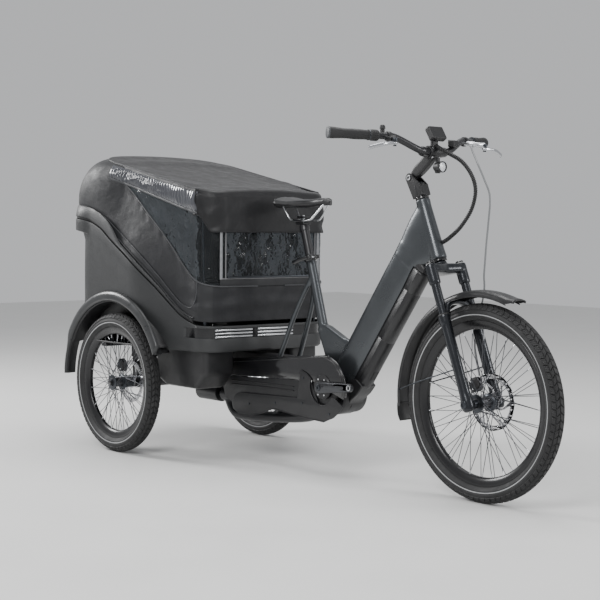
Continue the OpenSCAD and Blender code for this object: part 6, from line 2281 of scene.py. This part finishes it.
def front_wall():
    """Crinkled clear front window with its sill and zips, whose light strips are a painted highlight, and the
    roll's hem bar.
    """
    line = [p for p in outline_front(0.8 * MM, 200, 421 * MM) if abs(p.y) < ZIP_Y + 6 * MM]
    normals = outward(line, False)

    def wall(name, z0, z1, n, relief, material, thick):
        rows = []
        for p, q in zip(line, normals):
            row = []
            for v in steps(0, 1, n):
                z = lerp(z0, z1, v)
                out = relief(p, v, z)
                row.append(Vector((p.x + q.x * out, p.y + q.y * out, z)))
            rows.append(row)
        return sheet(name, rows, material, "rear_module", thick)

    def foil_relief(p, v, z):
        puff = math.sin(math.pi * v) ** 0.6
        return crease(p.y, z, p.x, 5.5 * MM, 8, 31) * puff - 1 * MM

    wall("front_sill", WINDOW_LOW - SILL, WINDOW_LOW, 10, lambda p, v,
         z: 1.5 * MM * math.sin(math.pi * v) + 0.4 * MM, SHELL_FABRIC, 3 * MM)
    edge = [Vector((p.x + q.x * 1.6 * MM, p.y + q.y * 1.6 * MM, WINDOW_LOW)) for p, q in zip(line, normals)]
    tube("sill_edge", edge[::3] + [edge[-1]], 2.0 * MM, STITCH_AND_HIGHLIGHT, "rear_module", 10, 3)
    window = wall("front_foil", WINDOW_LOW, FLAP_LOW + 8 * MM, 60, foil_relief, FOIL, 0.6 * MM)
    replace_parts(window, "front_window")
    for side in (-1, 1):
        tag = hand(side)
        # Both zip strips are light grey on the dark cloth: a painted highlight along each zip
        for n, y in enumerate((ZIP_Y, ZIP_Y - 18 * MM)):
            p = min(line, key=lambda q: abs(q.y - side * y))
            path = [Vector((p.x + 2 * MM, p.y, z))
                    for z in steps(WINDOW_LOW - 2 * MM, FLAP_LOW + 20 * MM, 40)]
            loft(f"window_zip_{tag}_{n}",
                 sweep_rings(path, lambda t: super_ring((6, 2.6)[n] * MM, 1.3 * MM, 3, 12),
                             Vector((0, 1, 0))), (ZIP_HIGHLIGHT, STITCH_AND_HIGHLIGHT)[n], "rear_module")
    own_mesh(window)
    low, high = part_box("window_hem_bar")
    x, z = (low.x + high.x) / 2, (low.z + high.z) / 2
    profile = mm((0.4, 0), (3, 0.3), (4.4, 2), (4.4, 12), (3.9, 13))
    length = high.y - low.y
    whole = profile + [(r, length - h) for r, h in reversed(profile)]
    bar = turned("window_bar", whole, Vector((x, low.y, z)), (0, 1, 0), HUB, "window_bar", 28)
    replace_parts(bar, "window_hem_bar")


def shoulder():
    """Moulded shoulder above the rim that carries the hood, and the black seal between it and the tub."""
    base = half_plan(0)
    line = [Vector((p.x, -p.y)) for p in reversed(base[1:]) if p.x < 0.395] + [p for p in base if p.x < 0.395]
    normals = outward(line, False)
    flange = full_outline(0, 4 * MM)
    spread = outward(flange)
    rows, seal = [], []
    for p, n in zip(line, normals):
        nearest = min(range(len(flange)), key=lambda i: (flange[i] - p).length_squared)
        q, m = flange[nearest], spread[nearest]
        reach = OVERHANG * max(0.0, -m.x) ** 0.9 * ease((-0.13 - q.x) / 0.09)
        foot = q + m * (reach - 2 * MM)
        tall = lerp(lerp(17, 50, ease((0.045 - p.x) / 0.09)), 30, ease((-0.27 - p.x) / 0.06)) * MM
        z0 = rim_z(q.x) + 9 * MM
        row = []
        for out, v in ((0.0, 0.0), (0.02, 0.06), (0.08, 0.25), (0.25, 0.5), (0.55, 0.78), (0.8, 0.93),
                       (0.96, 1.0), (1.1, 1.0)):
            at = foot.lerp(p + n * 3 * MM, out)
            row.append(Vector((at.x, at.y, z0 + (tall - 9 * MM) * v)))
        rows.append(row)
        inner = foot - m * 5 * MM
        seal.append([Vector((inner.x + m.x * u * MM, inner.y + m.y * u * MM, z0 + w * MM))
                     for u, w in ((0, 3), (2.2, 1), (3.2, -3), (2.6, -7.5), (0, -10), (-6, -8), (-6, 2))])
    sheet("rim_shoulder", rows, TUB, "rear_module", 3 * MM, 50)
    loft("rim_seal", seal, RUBBER, "rear_module", 50)


def inside():
    """Hoops, and bench cushions with belts."""
    for k, x in enumerate((-96 * MM, 424 * MM)):
        low, top = rim_z(x) + 4 * MM, roof_z(x) - 14 * MM
        half = top_half(x) - 17 * MM
        foot = min(half, half_at(x) - 34 * MM)
        mid = lerp(low, top, 0.6)
        side = [(foot, low - 58 * MM), (half, mid), (half, top - 50 * MM), (half - 14 * MM, top - 16 * MM),
                (half - 44 * MM, top - 2 * MM), (half * 0.4, top)]
        points = [Vector((x, -y, z)) for y, z in side] + [Vector((x, y, z)) for y, z in reversed(side)]
        tube(f"hoop_{k}", points, 6.8 * MM, HUB, "rear_module", 16, 8)
    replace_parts(bpy.data.objects["hoop_0"], "canopy_hoops")
    seat_pad = cushion("bench_cushion", P(-62, 0, 596), (276 * MM, 552 * MM, 42 * MM), Matrix.Identity(3), 5)
    lean = Matrix.Rotation(math.radians(90), 3, "Y")
    cushion("bench_back", P(-228, 0, 762), (262 * MM, 536 * MM, 38 * MM), lean, 5)
    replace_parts(seat_pad, "bench")
    for side in (-1, 1):
        for k, y in enumerate((90, 180)):
            path = [P(-203, side * y, 880), P(-201, side * y, 800), P(-199, side * (y - 4), 700),
                    P(-196, side * (y - 8), 640), P(-170, side * (y - 6), 622), P(-110, side * y, 624),
                    P(-60, side * y, 625)]
            loft(f"belt_{'left' if side > 0 else 'right'}_{k}",
                 sweep_rings(curve_points(path, 8), lambda t: super_ring(1.3 * MM, 12 * MM, 3, 12),
                             Vector((1, 0, 0.3))), WEBBING, "rear_module")
        block(f"buckle_{'left' if side > 0 else 'right'}", P(-60, side * 135, 628),
              (46 * MM, 34 * MM, 12 * MM), BLACK, "rear_module", 4 * MM)


def cushion(name, centre, size, turn, panels):
    """A sewn pad: a flat-seamed box that is inflated by a short cloth simulation, with sewn channels."""
    sx, sy, sz = size
    nx, ny = 26, 46
    verts = []
    for layer in (-1, 1):
        for i in range(nx + 1):
            for j in range(ny + 1):
                u, w = 2 * i / nx - 1, 2 * j / ny - 1
                edge = max(abs(u) ** 8, abs(w) ** 8)
                share = ((w + 1) / 2 * panels) % 1
                seam = min(share, 1 - share)
                thick = (sz / 2) * (0.66 * (1 - edge) + 0.2) * (0.72 + 0.28 * ease(seam / 0.12))
                verts.append(Vector((u * sx / 2, w * sy / 2, layer * thick)))
    cols = ny + 1
    count = (nx + 1) * cols
    faces = []
    for layer in (0, 1):
        faces += [tuple(layer * count + i for i in f) for f in grid_faces(nx + 1, cols)]
    rim_loop = [i * cols for i in range(nx + 1)] + [nx * cols + j for j in range(1, cols)] \
        + [i * cols + ny for i in range(nx - 1, -1, -1)] + list(range(ny - 1, 0, -1))
    faces += [(a, b, b + count, a + count) for a, b in zip(rim_loop, rim_loop[1:] + rim_loop[:1])]
    place = turn.to_4x4()
    place.translation = centre
    piece = add_piece(name, [place @ v for v in verts], faces, SEAT_FABRIC, None, 70)
    inflate(piece, panels, place, size)
    rounder = piece.modifiers.new("smooth", "SUBSURF")
    rounder.levels = rounder.render_levels = 1
    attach(piece, "rear_module")
    cord = [place @ Vector((u, w, 0)) for u, w in super_ring(sx / 2 - 1 * MM, sy / 2 - 1 * MM, 9, 60)]
    tube(f"{name}_cord", cord, 2.2 * MM, PIPING, "rear_module", 8, 2, True)
    return piece


def inflate(piece, panels, place, size):
    """Cloth simulation with pressure; the rim and the sewn channels stay pinned."""
    back = place.inverted()
    pins = piece.vertex_groups.new(name="sewn")
    for v in piece.data.vertices:
        p = back @ v.co
        u, w = abs(p.x) / (size[0] / 2), p.y / (size[1] / 2)
        share = ((w + 1) / 2 * panels) % 1
        if u > 0.96 or abs(w) > 0.97 or min(share, 1 - share) < 0.05:
            pins.add([v.index], 1.0, "REPLACE")
    cloth = piece.modifiers.new("inflate", "CLOTH")
    cloth.settings.quality = 5
    cloth.settings.use_pressure = True
    cloth.settings.uniform_pressure_force = 3.0
    cloth.settings.vertex_group_mass = "sewn"
    cloth.settings.tension_stiffness = 12
    cloth.settings.compression_stiffness = 12
    cloth.settings.bending_stiffness = 0.6
    cloth.settings.effector_weights.gravity = 0
    cloth.point_cache.frame_start = 1
    cloth.point_cache.frame_end = 20
    rest = [v.co.copy() for v in piece.data.vertices]
    scene = bpy.context.scene
    for f in range(1, 21):
        scene.frame_set(f)
    bpy.context.view_layer.update()
    solved = piece.evaluated_get(bpy.context.evaluated_depsgraph_get())
    moved = [v.co.copy() for v in solved.data.vertices]
    piece.modifiers.remove(cloth)
    cap = 7 * MM
    for v, a, b in zip(piece.data.vertices, rest, moved):
        d = b - a
        v.co = a + d * min(1.0, cap / max(d.length, 1e-9))
    scene.frame_set(1)


# --- stage ---------------------------------------------------------------------------------------

def stage():
    """Pale seamless floor, soft studio lights and the camera at the photographed angle."""
    shader = Shader("studio_floor", (0.72, 0.72, 0.71), 0.55)
    shader.vary_rough(shader.noise(3), 0.5, 0.65)
    rows = [[Vector((x, y, 0)) for y in steps(-9, 9, 2)] for x in steps(-9, 9, 2)]
    floor = sheet("floor", rows, shader.material, None)
    world = bpy.data.worlds.new("studio")
    bpy.context.scene.world = world
    world.use_nodes = True
    world.node_tree.nodes["Background"].inputs[0].default_value = (0.90, 0.91, 0.93, 1)
    world.node_tree.nodes["Background"].inputs[1].default_value = 0.62
    centre = Vector((0.6, 0, 0.5))
    lights = (("key", (2.6, -3.4, 3.2), 1.6, 120), ("rim", (-3.0, -1.6, 2.4), 1.0, 130),
              ("top", (0.4, 0.4, 4.2), 2.4, 110), ("front", (4.6, 1.8, 1.9), 1.2, 60))
    for name, at, size, power in lights:
        light = bpy.data.lights.new(name, "AREA")
        light.shape = "SQUARE"
        light.size = size
        light.energy = power
        lamp = bpy.data.objects.new(name, light)
        lamp.location = at
        lamp.rotation_euler = (centre - Vector(at)).to_track_quat("-Z", "Y").to_euler()
        bpy.context.scene.collection.objects.link(lamp)
    lens = bpy.data.cameras.new("camera")
    lens.lens = 82.46
    lens.sensor_width = 36
    lens.shift_x = -0.0108
    lens.clip_end = 60
    camera = bpy.data.objects.new("camera", lens)
    bpy.context.scene.collection.objects.link(camera)
    camera.location = (4.3291, -3.1806, 0.8458)
    azimuth, pitch, roll = math.radians(138.94), math.radians(-3.03), math.radians(0.52)
    look = Vector((math.cos(azimuth) * math.cos(pitch), math.sin(azimuth) * math.cos(pitch), math.sin(pitch)))
    aim = look.to_track_quat("-Z", "Y").to_matrix()
    camera.rotation_euler = (aim @ Matrix.Rotation(roll, 3, "Z")).to_euler()
    bpy.context.scene.camera = camera


def main():
    wheels()
    drive()
    front_frame()
    fork()
    cockpit()
    tub_wall()
    tub_inside()
    arches()
    step()
    belly()
    skin()
    roof()
    panel_seams()
    side_windows()
    front_wall()
    shoulder()
    inside()
    stage()


main()
